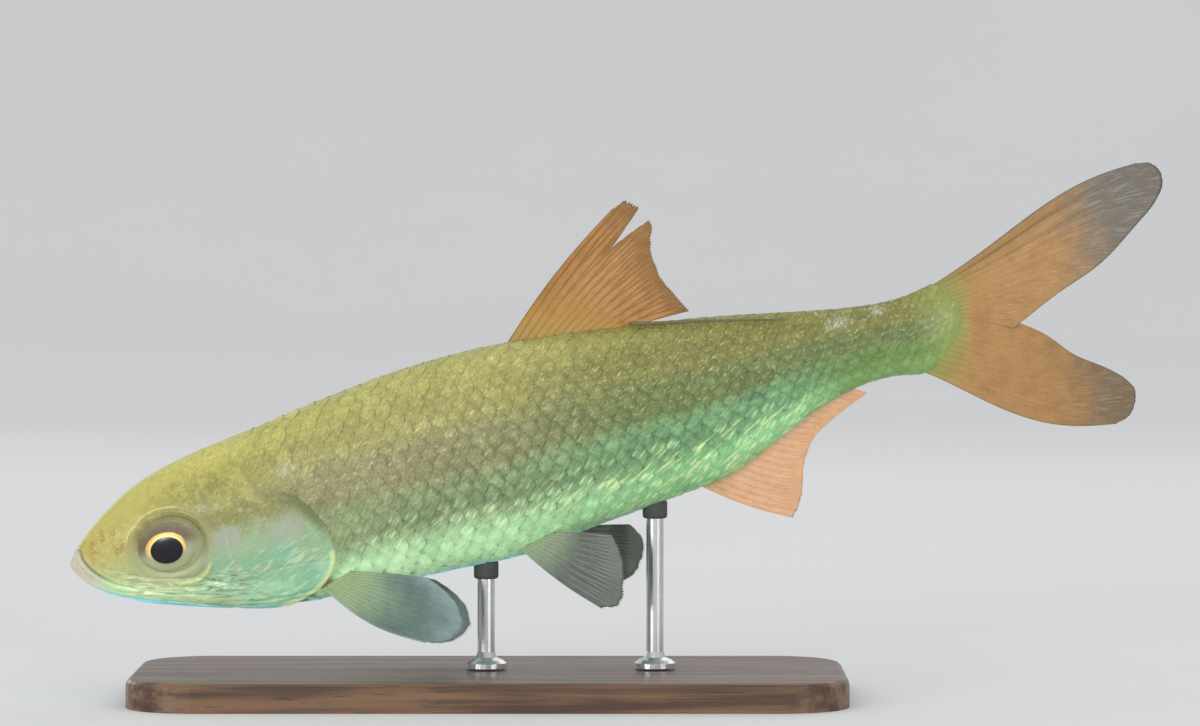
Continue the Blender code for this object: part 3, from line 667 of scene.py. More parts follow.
def fish_marks(recipe, look):
    """Colour, gloss and brightness of the body, alike on skin and scales."""
    place, x, _, z = recipe.kept("straight")
    height = recipe.kept("lie")[2]
    level = height + (noise(place, 0.16, 3, 0.6) - 0.5) * 0.10
    rear, stalk, head, ahead = step(x, 66, 108), step(x, 124, 142), step(x, 46, 28), step(x, 104, 66)
    belly = mix(stalk, mix(rear, look.belly, (0.35, 0.73, 0.34)), (0.22, 0.38, 0.12))
    flank = mix(stalk, mix(rear, look.flank, look.teal), (0.16, 0.26, 0.075))
    mauve = mix(head, mix(rear, look.band, (0.16, 0.205, 0.065)), (0.28, 0.275, 0.085))
    upper = mix(head, mix(rear, (0.37, 0.345, 0.11), (0.235, 0.23, 0.065)), (0.35, 0.325, 0.075))
    back = layers(look.back, (step(x, 74, 120), (0.26, 0.25, 0.065)), (step(x, 60, 18), look.nape))
    lower = step(level, 0.42, 0.18)

    blotches = step(noise(stretched(place, (0.5, 0.3, 0.75)), 0.62, 2, 0.55), 0.50, 0.64) * band(level, 0.37, 0.13)
    tint = layers(
        belly,
        (step(level, 0.10, 0.31), flank),
        (step(level, 0.38, 0.52), mauve),
        (step(level, 0.60, 0.76), upper),
        (step(level, 0.80, 0.95), back),
        (blotches * step(x, 50, 66) * step(x, 134, 118) * 0.5, look.blotch),
        (band(level, 0.31, 0.08) * step(x, 50, 66) * step(x, 112, 84) * 0.30, look.blotch),
    )

    mottle = noise(place, 0.85, 4, 0.65)
    silk = noise(stretched(place, (0.5, 0.5, 2.6), 46), 1.1, 4, 0.6)
    silk_here = 0.35 + 0.45 * step(level, 0.62, 0.40) * step(level, 0.10, 0.30)
    grains = noise(stretched(place, (0.8, 0.8, 1.5), 30), 1.7, 3, 0.65)
    tint = times(0.72 + mottle * 0.50, tint)
    tint = times(1 + (silk - 0.5) * silk_here * 1.5, tint)
    tint = times(1 + (grains - 0.5) * (0.9 - lower * 0.45), tint)

    # The keel: its sky blue edge, painted bright and glowing as painted light from below.
    keel_and_underlight = step(height, 0.026, 0.004) * (0.15 + 0.85 * ahead)
    low_flank = step(level, 0.36, 0.20) * step(level, 0, 0.05) * step(x, 44, 66) * step(x, 138, 124)
    low_flank = low_flank * (0.45 + 0.55 * band(x, 108, 40))
    glints = step(noise(stretched(place, (0.15, 0.5, 1.7), 27), 1.15, 2, 0.5), 0.56, 0.65) * low_flank
    # Pale yellow dashes on the back are painted glints.
    glint_dashes = step(noise(stretched(place, (0.7, 0.7, 3.2), 34), 0.9, 1, 0.4), 0.705, 0.75)
    first, second, third = (off_spot(x, z, *spot) for spot in WORN_SPOTS)
    worn = calculate("MINIMUM", calculate("MINIMUM", first, second), third)
    frayed = noise(stretched(place, (1, 1, 0.45), -25), 1.9, 4, 0.75)
    sore = step(off_spot(x, z, *SORE_SPOT) + (mottle - 0.5) * 0.9, 1, 0.3)
    # A bright mint patch behind the pectoral fin is a painted pool of light, which also glows.
    armpit_light = band(x + (mottle - 0.5) * 6, 54, 11) * step(level, 0.24, 0.10)
    tint = layers(
        tint,
        # Pale specks on the upper body are painted glitter highlights.
        (step(grains, 0.555, 0.70) * step(level, 0.34, 0.50) * 0.42, (0.62, 0.61, 0.36)),
        (step(x, 151, 159.5) * 0.7, (0.32, 0.365, 0.095)),
        (keel_and_underlight * 0.9, look.keel_and_underlight),
        (glints * 0.9, (0.84, 1, 0.46)),
        (glint_dashes * step(level, 0.50, 0.62) * step(x, 23, 30) * 0.5, (0.84, 0.80, 0.38)),
        (step(worn + (frayed - 0.5) * 4.2, 0.75, 0) * 0.5, (0.62, 0.64, 0.56)),
        (sore * 0.75, (0.30, 0.13, 0.045)),
        (armpit_light * 0.55, (0.74, 1, 0.60)),
    )
    # Painted light from below: keel, belly and the patch behind the pectoral fin glow, though no lamp is there.
    glow = keel_and_underlight * 0.16 + step(level, 0.34, 0.06) * (0.04 + 0.19 * ahead) + armpit_light * 0.10
    return SimpleNamespace(
        place=place, x=x, z=z, height=height, level=level, tint=tint, lower=lower, glints=glints, silk=silk, glow=glow,
    )


def skin_material(look):
    recipe = Recipe("tarpon_skin")
    marks = fish_marks(recipe, look)
    place, x, z = marks.place, marks.x, marks.z
    _, mouth, gill, orbit = recipe.kept("head_lines")
    _, fold, preopercle, _ = recipe.kept("head_folds")
    soft, fine, mottles = noise(place, 0.26, 3, 0.6), noise(place, 2.6, 5, 0.7), noise(place, 1.1, 4, 0.65)
    large = noise(place, 0.55, 4, 0.65)
    drift, ragged = soft - 0.5, mottles - 0.5

    on_head = step(gill, -0.1, 0.5)
    cheek = on_head * step(z + drift * 8, 1.6, -6) * step(x + drift * 8, 19, 28)
    low_cheek = step(z + drift * 6, -7, -14)
    front, behind = (step(off_spot(x, z, *spot) + ragged * 0.9, 1, 0.35) for spot in LILAC_SPOTS)
    lilac = greater(front, behind * 0.75) * on_head
    olive = step(mottles, 0.52, 0.66) * on_head * band(z, 3, 6.5) * step(x, 22, 28)
    snout_side = step(x, 25, 12) * step(mouth, -0.2, 0.6)
    snout = mix(step(z, -7, 1), (0.47, 0.55, 0.23), look.snout)
    brown = step(large, 0.46, 0.58) * step(off_spot(x, z, 7.4, 1.4, 6.5), 1, 0.35)
    # Pale yellow spots on the snout are painted highlights.
    gilt_highlights = step(mottles, 0.52, 0.60) * step(off_spot(x, z, 7.6, 1.8, 7.5), 1, 0.3)
    jaw = step(mouth, 0.1, -0.3) * step(x, 30, 24)
    yellow = step(mouth, 2.6, 0.4) * snout_side * step(x, 5, 9) * step(mottles, 0.40, 0.56)
    sheen = noise(stretched(place, (0.22, 0.4, 1.5), 24), 1, 3, 0.6)
    sheen_zone = step(z, -3.5, -7) * step(x, 20, 30) * on_head
    # The pale streaks on cheek and jaw are painted glints, with darker streaks between them.
    glint_streaks = noise(stretched(place, (0.32, 0.9, 1.7), -13), 1, 4, 0.65, 0.7)
    streak_zone = greater(step(z, -6.8, -8.8), step(mouth, 3.4, 1.8)) * step(x, 5, 12) * step(x, 34, 27)
    reach = marks.height - step(x, 22, 8) * 0.03 + drift * 0.01
    keel_and_underlight = step(reach, 0.024, 0.004) * step(x, 1, 4)
    tint = layers(
        marks.tint,
        (cheek * 0.95, mix(low_cheek, look.cheek, (0.46, 0.80, 0.52))),
        (lilac * 0.7, look.lilac),
        (step(soft, 0.46, 0.62) * cheek * step(z, -4, -8) * 0.6, (0.25, 0.62, 0.42)),
        (olive * 0.62, (0.24, 0.25, 0.07)),
        (snout_side * 0.8, snout),
        (brown * 0.75, (0.34, 0.22, 0.03)),
        (gilt_highlights * 0.55, (0.76, 0.64, 0.20)),
        (step(mottles, 0.50, 0.40) * snout_side * step(z, 4, -3) * 0.30, (0.70, 0.68, 0.36)),
        (jaw * 0.9, (0.54, 0.74, 0.40)),
        (jaw * step(x + ragged * 5, 7, 2.6), look.lip),
        (yellow * 0.5, (0.72, 0.80, 0.46)),
        (step(sheen, 0.55, 0.66) * sheen_zone * 0.60, (0.70, 0.94, 0.62)),
        (step(sheen, 0.46, 0.36) * sheen_zone * 0.28, (0.20, 0.38, 0.25)),
        (step(glint_streaks, 0.52, 0.62) * streak_zone * 0.85, (0.84, 0.96, 0.66)),
        (step(glint_streaks, 0.46, 0.38) * streak_zone * (0.75 - jaw * 0.25), (0.19, 0.28, 0.16)),
        (keel_and_underlight * 0.9, look.keel_and_underlight),
    )

    above_eye = step(z + drift * 5, 0, 3)
    rings = step(sine(orbit * 52 + mottles * 4), 0.45, 0.95) * (
        band(orbit, 1.18, 0.20) * step(z + drift * 6, -2.5, 2.5)
    )
    arc = band(orbit + ragged * 0.06, 1.345, 0.045) * above_eye * step(x, 23, 20)
    # Painted shade behind the eye.
    shade_behind_eye = band(orbit + ragged * 0.1, 1.08, 0.14) * step(x, 22, 24.2) * step(z, -7, -3)
    fold_here = step(z + drift * 2, -5, -6.2) * step(x, 17, 18.8)
    gill_shade = band(gill + ragged * 1.2, 0.4, 1.9) * step(z, -8, -3) * step(z, 5.5, 1.5)
    lid_tint = mix(step(z, -6, 2), (0.44, 0.48, 0.27), (0.34, 0.31, 0.12))
    tint = layers(
        tint,
        (step(orbit + ragged * 0.16, 1.46, 1.20) * 0.75, lid_tint),
        (band(orbit, 1.13, 0.18) * above_eye * 0.9, (0.215, 0.215, 0.06)),
        (rings * 0.4, (0.60, 0.55, 0.17)),
        (arc * 0.75, (0.80, 0.72, 0.22)),
        (shade_behind_eye * 0.55, (0.19, 0.20, 0.105)),
        # A brown line round the top of the eye's edge is painted shade in the gap under the lid.
        (band(orbit, 1, 0.07) * step(z + ragged * 4, -1, 3) * 0.5, (0.19, 0.135, 0.06)),
        (band(fold + ragged * 0.7, 0, 0.5) * fold_here * 0.85, (0.66, 0.76, 0.27)),
        (band(fold, 0.9, 0.6) * step(x, 26, 24) * fold_here * 0.4, (0.18, 0.24, 0.12)),
        (gill_shade * 0.75, (0.13, 0.16, 0.055)),
        (band(gill + ragged * 0.6, 0.30, 0.75) * step(z, -8.2, -10.2) * 0.95, (0.88, 0.98, 0.48)),
        # Painted shade in the slit under the gill cover's edge.
        (band(gill, -0.35, 0.5) * step(z, 4, 1) * 0.45, (0.10, 0.12, 0.045)),
        # Painted shade in the slit between the jaws.
        (band(mouth, 0, 0.24) * step(x, 26.2, 25.2) * (0.10 + 0.36 * step(x, 8, 3)), (0.13, 0.10, 0.045)),
        (band(preopercle + drift, 0, 0.5) * step(z, -0.5, -4) * 0.22, (0.60, 0.66, 0.38)),
    )

    brow = noise(stretched(place, (0.5, 0.5, 1), -40), 0.42, 4, 0.6)
    brow_zone = on_head * step(x, 18, 26) * band(z, 5, 7) * step(orbit, 1.35, 1.6)
    crown = on_head * step(z, -1, 4) * step(x, 7, 13)
    tint = layers(
        times(0.86 + fine * 0.28, tint),
        (step(brow, 0.50, 0.62) * brow_zone * 0.6, (0.20, 0.20, 0.05)),
        (step(brow, 0.47, 0.36) * brow_zone * 0.40, (0.50, 0.465, 0.13)),
        (step(large, 0.48, 0.64) * crown * 0.34, (0.62, 0.55, 0.16)),
        (step(large, 0.48, 0.34) * crown * 0.30, (0.33, 0.31, 0.08)),
    )
    pores = recipe.node("ShaderNodeTexVoronoi", {"feature": "F1"}, {"Vector": place, "Scale": 1.9})
    height = fine * 0.6 + step(pores, 0.18, 0.30) * 0.35 + glint_streaks * streak_zone * 0.7 + mottles * 0.5
    height = height + sheen * sheen_zone * 0.8
    # Painted light from below: keel and lower cheek glow, and behind the gill edge the body's glow.
    glow = greater(keel_and_underlight * 0.16 + cheek * low_cheek * 0.08, marks.glow * step(gill, -1, 0))
    more = {
        "Metallic": greater(cheek, marks.lower * 0.7) * 0.2,
        "Emission Color": times(glow, tint),
        "Emission Strength": 1,
    }
    return recipe.finish(tint, 0.40 + fine * 0.18, height, 0.45, 0.00016, (0.35, 0.14, 0.16), more)


def scale_material(look):
    recipe = Recipe("tarpon_scales")
    marks = fish_marks(recipe, look)
    x, level, silk, tint = marks.x, marks.level, marks.silk, marks.tint
    _, tailward, across, chance = recipe.kept("scale_place")
    reach = far(tailward, across)
    fine, patchy = noise(marks.place, 3.4, 3, 0.6), noise(marks.place, 0.5, 3, 0.6)
    rim = step(reach + (fine - 0.5) * 0.35, 0.66, 1.02) * step(tailward, -0.1, 0.25)
    seen = step(level, 0.20, 0.36) * step(level, 0.92, 0.66) * step(x, 48, 74) * step(x, 150, 132)
    seen = seen * step(patchy, 0.34, 0.60)
    centre = step(off_spot(tailward, across, 0.44, 0, 0.50) + (silk - 0.5) * 0.8, 1, 0.3)
    low = step(level, 0.40, 0.22) * step(x, 36, 52) * step(x, 142, 124)
    slant = across * 0.62 - (tailward - 0.48) * 0.78
    # Slanted pale lines on the scales of the lower flank are painted glints, which also glow.
    lines = step(sine(slant * 15 + (fine - 0.5) * 3 + chance * 6), 0.35, 0.95)
    middle = step(off_spot(tailward, across, 0.50, 0, 0.62), 1, 0.35)
    most = 0.72 + 0.28 * band(x, 108, 30)
    sparkle_glints = lines * middle * low * most * step(patchy + chance * 0.6, 0.50, 0.95)
    bright = mix(step(x, 84, 112), (0.66, 0.98, 0.62), (0.88, 1, 0.50))
    shade = step(slant, 0.16, 0.60) * low * step(tailward, 0.05, 0.4) * step(level, 0.07, 0.20)
    tint = mix(rim * (0.04 + seen * (0.26 + 0.26 * band(level, 0.42, 0.24))), tint, times(0.42, tint))
    tint = mix(centre * (0.14 + 0.24 * seen), tint, times(1.6, tint))
    tint = mix(sparkle_glints * 0.75, tint, bright)
    tint = mix(shade * 0.75, tint, times(0.42, tint))
    tint = times(0.86 + fine * 0.28, times(0.90 + chance * 0.20, tint))
    circles = sine(reach * 58)
    spokes = sine(calculate("ARCTAN2", across, tailward + 0.35) * 34)
    height = circles * 0.18 + spokes * 0.18 * step(tailward, 0.1, 0.6) + fine * 0.9 + silk * 0.8
    more = {
        "Metallic": 0.05 + marks.lower * 0.16 + marks.glints * 0.2,
        "Emission Color": times((marks.glow + sparkle_glints * 0.10) * step(tailward, 0, 0.4), tint),
        "Emission Strength": 1,
    }
    roughness = 0.44 - marks.lower * 0.08 + fine * 0.14
    return recipe.finish(tint, roughness, height, 0.35, 0.00008, (0.35, 0.12, 0.18), more)


def eye_material(look):
    recipe = Recipe("tarpon_eye")
    place, along_eye, up, _ = recipe.kept("eye_place")
    dx = (along_eye - PUPIL_AT[0]) / (look.pupil_length / MM / 2)
    dz = (up - PUPIL_AT[1]) / (look.pupil_height / MM / 2)
    reach = far(dx, dz)
    angle = calculate("ARCTAN2", dz, dx)
    fibres = noise(joined(recipe, calculate("COSINE", angle), sine(angle), reach * 0.25), 12, 3, 0.6)
    fleck, grain = noise(place, 0.55, 4, 0.6), noise(place, 2.6, 3, 0.6)
    over = dz + dx * 0.25
    crescent = band(reach + (fleck - 0.5) * 0.5, 1.50, 0.95) * step(over - dx * 0.35, -0.3, 0.7)
    iris = layers(
        mix(step(up, -2.8, 2.4), look.lower, (0.30, 0.30, 0.155)),
        (step(fleck, 0.44, 0.66) * 0.35, (0.44, 0.43, 0.25)),
        (crescent * 0.9, look.upper),
        (band(reach, 1.62, 0.16) * step(up, -1, -2.6) * 0.45, (0.22, 0.23, 0.12)),
    )
    outer = 1.14 + step(over - dx * 0.5, -0.9, 0.9) * 0.20 + (fibres - 0.5) * 0.12
    ring = step(reach - outer, 0.05, -0.05)
    # The gold ring is painted lit at its top; under that it is a darker brown line, painted shade.
    light = step(over - dx * 0.25, -0.75, 0.10)
    gold = layers(
        look.gold,
        # A pale band on the ring is a painted highlight.
        (band(reach, 1.09, 0.10) * 0.5, (1, 0.84, 0.42)),
        (band(reach, 1.22, 0.06) * 0.35, (0.38, 0.22, 0.07)),
    )
    pupil = step(reach, 1.03, 0.985)
    rim = calculate("SQRT", along_eye * along_eye + up * up * 1.417) + (fleck - 0.5) * 0.7
    arcs = band(rim, 4.75, 0.35) + band(rim, 5.5, 0.3)
    ripples = step(sine(rim * 9), 0.2, 0.9) * step(over, -0.9, -1.6) * step(rim, 3.4, 4)
    tint = layers(
        times(0.76 + fibres * 0.20 + grain * 0.28, iris),
        (ring * light, gold),
        (band(reach, 1.05, 0.12) * (1 - light) * 0.5, (0.36, 0.24, 0.14)),
        (pupil, (0.006, 0.008, 0.011)),
        (arcs * step(over, 0.2, 1.2) * 0.55, (0.24, 0.165, 0.08)),
        (ripples * 0.30, (0.58, 0.62, 0.40)),
        # The eye's rear side is painted darker: painted shade.
        (step(dx, 1.30, 1.85) * 0.35, (0.24, 0.245, 0.13)),
    )
    more = {"Metallic": ring * (1 - pupil) * light * 0.3}
    height = (fibres + grain) * (1 - pupil)
    return recipe.finish(tint, 0.42 - pupil * 0.20, height, 0.12, 0.0001, (0.35, 0.04, 0.05), more)


def fin_material(name, tint, ray_tint, tip_tint, base_tint, opacity, dusky_tip, dusky_front, rays_show=0.5,
                 base_reach=0.16, tip_from=None):
    """A clear membrane with finer, darker rays, and a dusky edge."""
    recipe = Recipe(name)
    place, x, _, _ = recipe.kept("straight")
    _, across, outward, ray = recipe.kept("fin_place")
    cloud = noise(place, 0.35, 4, 0.6)
    fine = noise(joined(recipe, across * 110, outward * 9, 0), 1, 4, 0.65)
    if tip_from:
        tip = step(x + (cloud - 0.5) * 9 + (fine - 0.5) * 5, tip_from, tip_from + 15) * dusky_tip
    else:
        tip = step(outward + (cloud - 0.5) * 0.35, 0.66, 0.98) * dusky_tip
    front = step(across, 0.30, 0) * step(outward, 1, 0.55) * dusky_front
    root = outward + ((cloud - 0.5) * 0.3 + (fine - 0.5) * 0.5) * base_reach
    root = step(root, base_reach, -0.1 * base_reach)
    joints = sine(outward * 190)
    rays = mix(tip * 0.7, ray_tint, tip_tint)
    rays = mix(step(joints, 0.55, 1) * step(outward, 0.25, 0.4) * 0.4, rays, times(0.5, rays))
    body = layers(
        tint,
        (step(cloud, 0.38, 0.68) * 0.45, times(0.62, tint)),
        (step(fine, 0.52, 0.66) * 0.30, times(1.5, tint)),
        (step(fine, 0.46, 0.36) * 0.30, ray_tint),
        (front * (0.4 + ray * 0.6), times(0.55, ray_tint)),
        (tip, tip_tint),
        (step(fine, 0.50, 0.62) * tip * 0.35, (0.50, 0.50, 0.48)),
        (root * 0.9, base_tint),
        (ray * rays_show * (0.45 + 0.55 * step(outward, 0.1, 0.6)), rays),
    )
    border = step(across, 0.018, 0)
    body = times(0.84 + noise(place, 2.3, 3, 0.7) * 0.32, body)
    body = mix(greater(step(outward, 0.975, 1) * 0.15, border * 0.6), body, tip_tint)
    alpha = opacity + ray * 0.25 + tip * 0.20 + front * 0.2 + root * 0.5 + (fine - 0.5) * 0.3
    alpha = alpha + (cloud - 0.5) * 0.25 + border * 0.3
    more = {"Alpha": calculate("MINIMUM", alpha, 1)}
    return recipe.finish(body, 0.36 + fine * 0.2, fine + joints * ray * 0.3, 0.25, 0.00008, (0.2, 0.06, 0.2), more)


def wood_material(look):
    recipe = Recipe("walnut")
    place = recipe.own_place()
    warp = noise(stretched(place, (9, 34, 34)), 1)
    lines = noise(stretched(place, (14, 520, 520)), 1, 4, 0.65)
    figure = sine(parts(place)[1] * 620 + warp * 26)
    pores = noise(stretched(place, (160, 2600, 2600)), 1, 3, 0.6)
    tint = mix(step(lines + figure * 0.07, 0.36, 0.64), look.dark_wood, look.light_wood)
    tint = mix(step(pores, 0.58, 0.70) * 0.6, tint, (0.022, 0.011, 0.006))
    return recipe.finish(
        times(0.8 + warp * 0.4, tint), 0.42 + pores * 0.16, pores * -1, 0.35, 0.0002, (0.5, 0.25, 0.18)
    )


def steel_material(look):
    recipe = Recipe("brushed_steel")
    place = recipe.own_place()
    brushed = noise(stretched(place, (300, 300, 9000)), 1, 3, 0.7)
    tint = times(0.86 + noise(place, 220, 3, 0.6) * 0.24, look.steel)
    return recipe.finish(tint, 0.20 + brushed * 0.22, brushed, 0.2, 0.00005, more={"Metallic": 1})


def pad_material():
    recipe = Recipe("clear_grey_rubber")
    grain = noise(recipe.own_place(), 2600, 3, 0.6)
    tint = mix(grain, (0.045, 0.046, 0.045), (0.09, 0.09, 0.085))
    return recipe.finish(tint, 0.62 + grain * 0.2, grain, 0.3, 0.0001)


def floor_material(look):
    recipe = Recipe("studio_floor")
    place = recipe.own_place()
    fine = noise(place, 420, 3, 0.6)
    tint = times(0.95 + noise(place, 2.2, 4, 0.6) * 0.08, look.floor)
    return recipe.finish(tint, 0.80 + fine * 0.16, fine, 0.08, 0.0002, (0, 0, 0.03))


# Skin


def skin_angles():
    """Angles round the body, closest together between the mouth and the eye."""
    fraction = np.linspace(0.0, 1.0, 2001)
    crowd = 1.0 + 0.9 * hump(fraction, 0.30, 0.16)
    reach = np.concatenate([[0.0], np.cumsum((crowd[1:] + crowd[:-1]) / 2)])
    one_side = np.interp(np.linspace(0.0, reach[-1], SKIN_SIDES // 2 + 1), reach, fraction)
    left = -math.pi / 2 + math.pi * one_side
    return np.concatenate([left, (math.pi - left[::-1])[1:]])


def head_measures(x, z):
    """Distances of points of the head from its lines, in millimetres. The eye's is a share of its radius."""
    return {
        "mouth": beside(x, z, MOUTH_LINE),
        "gill": -beside(x, z, GILL_EDGE),
        "orbit": np.hypot(x - EYE_AT[0], (z - EYE_AT[1]) / EYE_HEIGHT_RATIO) / EYE_RADIUS,
        "fold": beside(x, z, CHEEK_FOLD, 30),
        "preopercle": beside(x, z, PREOPERCLE, 40),
        "subopercle": beside(x, z, SUBOPERCLE, 30),
    }


def head_relief(x, z, at):
    """How far the skin of the head stands out or sinks in at each point."""
    mouth, gill, orbit, preopercle = at["mouth"], at["gill"], at["orbit"], at["preopercle"]
    lift = -(0.17 + 0.38 * rise(x, 11.0, 4.5)) * hump(mouth, 0.0, 0.17) * rise(x, 26.0, 25.0)
    lips = rise(x, 16.0, 8.0)
    lift += 0.17 * hump(mouth, 0.52, 0.30) * lips + 0.22 * hump(mouth, -0.56, 0.36) * lips
    # The maxilla, with the pits of the lower jaw.
    width = np.interp(x, *zip(*MAXILLA_WIDTHS))
    plate = rise(mouth, 0.14, 0.34) * rise(mouth, width + 0.36, width + 0.10)
    bone = plate * rise(x, 4.6, 7.0) * rise(x, 26.2, 25.4)
    lift += 0.20 * bone - 0.10 * hump(mouth, width + 0.42, 0.17) * rise(x, 6.0, 9.0) * rise(x, 26.4, 25.4)
    lift -= 0.07 * hump(mouth, 0.45 * width + 0.2, 0.10) * bone * rise(x, 14.0, 16.0)
    for pit in range(6):
        lift -= 0.16 * hump(np.hypot(x - (5.5 + 3.1 * pit), mouth + 1.75), 0.0, 0.22)
    # The eye's socket and lid.
    under_eye = 1.0 - rise(orbit, 0.90, 0.97)
    socket = 0.16 + 0.28 * rise(z, -5.0, 0.5)
    lift = lift * (1 - under_eye) - socket * (1 - rise(orbit, 0.96, 1.14)) - 1.6 * under_eye
    lid = 0.35 + 0.65 * rise(z, -5.5, 0.0)
    lift += (0.20 * hump(orbit, 1.12, 0.06) + 0.08 * hump(orbit, 1.20, 0.035) + 0.06 * hump(orbit, 1.29, 0.035)) * lid
    lift -= (0.10 * hump(orbit, 1.155, 0.03) + 0.07 * hump(orbit, 1.245, 0.03)) * lid
    lift += 0.16 * hump(at["fold"], 0.0, 0.35) * rise(z, -4.6, -6.0)
    for nostril_x, nostril_z in NOSTRILS:
        from_pit = np.hypot(x - nostril_x, z - nostril_z)
        lift += 0.10 * hump(from_pit, NOSTRIL_RADIUS * 1.25, 0.22) - 0.40 * rise(from_pit, NOSTRIL_RADIUS, 0.20)
    # The plates of the gill cover.
    face = rise(x, 26.0, 29.5) * rise(z, 1.5, -3.0)
    lift += 0.10 * hump(preopercle, 0.0, 0.35) * face - 0.10 * hump(preopercle, -0.75, 0.4) * face
    lift -= 0.08 * hump(at["subopercle"], 0.0, 0.16) * rise(gill, 0.2, 1.0)
    lift += 0.22 * rise(np.hypot((x - 37.0) / 7.5, (z + 5.5) / 7.5), 1.0, 0.2)
    lift += (0.04 * hump(gill, 0.75, 0.55) - 0.20 * hump(gill, -0.35, 0.32)) * rise(z, 5.5, 2.5)
    return lift


def underside_relief(x, y, angle):
    """The gular plate between the jaws and the rays of the gill membrane."""
    oval = np.hypot((x - 17.5) / 9.0, y / 2.3)
    lift = rise(angle, -0.95, -1.25) * (0.10 * rise(oval, 1.0, 0.85) - 0.20 * hump(oval, 1.03, 0.09))
    rays = np.sin(TURN * (np.abs(y) - 0.12 * (x - 20.0)) / 1.15)
    return lift + 0.10 * rays * (rise(x, 25.0, 28.0) * rise(x, 42.5, 39.0) * rise(angle, -0.85, -1.1))


def coat_depth(look, x):
    """Depth of the skin below the outer face of the scales, in millimetres. It is less on the tail stalk."""
    return look.coat_depth / MM * (1.0 - 0.4 * rise(x, 118.0, 150.0))


def coat_share(gill, z):
    """0 on the bare head and 1 where scales cover the skin. On the nape they come out of it slowly."""
    return rise(gill, 0.10, -0.45 - 9.0 * rise(z, 1.0, 5.0))


class TARPON_OT_skin(bpy.types.Operator):
    """Build the skin of head and body in one closed piece"""

    bl_idname = "tarpon.skin"
    bl_label = "Skin"

    def execute(self, context):
        look = context.scene.tarpon_skin
        gills = float(body_key(HEAD_END))
        head = np.linspace(0.0, gills, HEAD_RINGS + 1)
        trunk = np.linspace(gills, math.pi / 2, TRUNK_RINGS + 1)[1:]
        x = BODY_LENGTH * np.sin(np.concatenate([head, trunk])) ** 2
        x, angle = np.meshgrid(x, skin_angles(), indexing="ij")
        points = body_point(x, angle)
        normals = body_normal(np.clip(x, 0.05, BODY_LENGTH - 0.05), angle)
        y, z = points[..., 1], points[..., 2]
        folded = np.where(angle > math.pi / 2, math.pi - angle, angle)
        near = x < RELIEF_END
        measured = head_measures(x[near], z[near])
        at = {key: np.full(x.shape, 50.0 if key == "orbit" else -50.0) for key in measured}
        for key, values in measured.items():
            at[key][near] = values
        lift = np.zeros(x.shape)
        lift[near] = head_relief(x[near], z[near], measured) + underside_relief(x[near], y[near], folded[near])
        lift -= coat_depth(look, x) * coat_share(at["gill"], z) * rise(x, 160.5, 157.0)
        lift *= rise(x, 0.0, 0.5) * rise(x, 162.0, 161.0)
        kept = {
            "straight": points,
            "lie": stacked(x / BODY_LENGTH, height_share(x, z), folded),
            "head_lines": stacked(at["mouth"], at["gill"], at["orbit"]),
            "head_folds": stacked(at["fold"], at["preopercle"], lift),
        }
        piece = sheet("skin", points + normals * lift[..., None], kept)
        nodes = ["head", "lower_jaw", "trunk", "tail_stalk"]
        nodes += [part + word for part in ("maxilla_", "gill_cover_") for _, word in SIDES]
        dress(piece, skin_material(look), replaced=nodes)
        return {"FINISHED"}


# Scales


class Wrap:
    """Turns a distance round the body, measured from the widest line of the left side, into an angle."""

    STEP_X = 0.5
    STEP_S = 0.1
    S_FROM, S_TO = -60.0, 90.0

    def __init__(self):
        self.x = np.arange(0.5, BODY_LENGTH - 0.4, self.STEP_X)
        self.wanted = np.arange(self.S_FROM, self.S_TO, self.STEP_S)
        angles = np.linspace(-math.pi / 2, 3 * math.pi / 2, 1441)
        self.table, self.up, self.down = [], [], []
        for x in self.x:
            reach = distances(body_point(np.full(angles.shape, x), angles))
            start = np.interp(0.0, angles, reach)
            self.table.append(np.interp(self.wanted, reach - start, angles))
            self.up.append(np.interp(math.pi / 2, angles, reach) - start)
            self.down.append(start)
        self.table = np.array(self.table)

    def above(self, x):
        """Distance from the widest line up to the ridge of the back."""
        return np.interp(x, self.x, self.up)

    def below(self, x):
        """Distance from the widest line to the middle of the belly, which counts as negative."""
        return -np.interp(x, self.x, self.down)

    def angle(self, x, s):
        row = np.clip((x - self.x[0]) / self.STEP_X, 0, len(self.x) - 1.001)
        column = np.clip((s - self.S_FROM) / self.STEP_S, 0, len(self.wanted) - 1.001)
        i, j = row.astype(int), column.astype(int)
        u, v = row - i, column - j
        low, high = (self.table[n, j] * (1 - v) + self.table[n, j + 1] * v for n in (i, i + 1))
        return low * (1 - u) + high * u


def scale_shape():
    """One scale, modelled once: its outline grown from a small fan, with a thin rim and a back."""
    select_only()
    bpy.ops.mesh.primitive_circle_add(vertices=16, radius=0.5, fill_type="TRIFAN")
    shape = named("scale")
    edit(shape)
    bpy.ops.mesh.region_to_loop()
    for growth in SCALE_GROWTHS:
        bpy.ops.mesh.extrude_edges_move()
        bpy.ops.transform.resize(value=(growth, growth, 1.0))
    bpy.ops.mesh.extrude_edges_move(TRANSFORM_OT_translate={"value": (0.0, 0.0, -1.0)})
    bpy.ops.mesh.edge_face_add()
    bpy.ops.mesh.select_all(action="SELECT")
    bpy.ops.mesh.normals_make_consistent(inside=False)
    select_only()
    points = np.array([vertex.co for vertex in shape.data.vertices])
    faces = [tuple(face.vertices) for face in shape.data.polygons]
    bpy.data.objects.remove(shape)
    return points, faces


def narrowed(x):
    """Width of a scale, as a share of one at the front. It shrinks towards the tail."""
    return 1.0 - NARROWER * rise(x, *NARROWS)


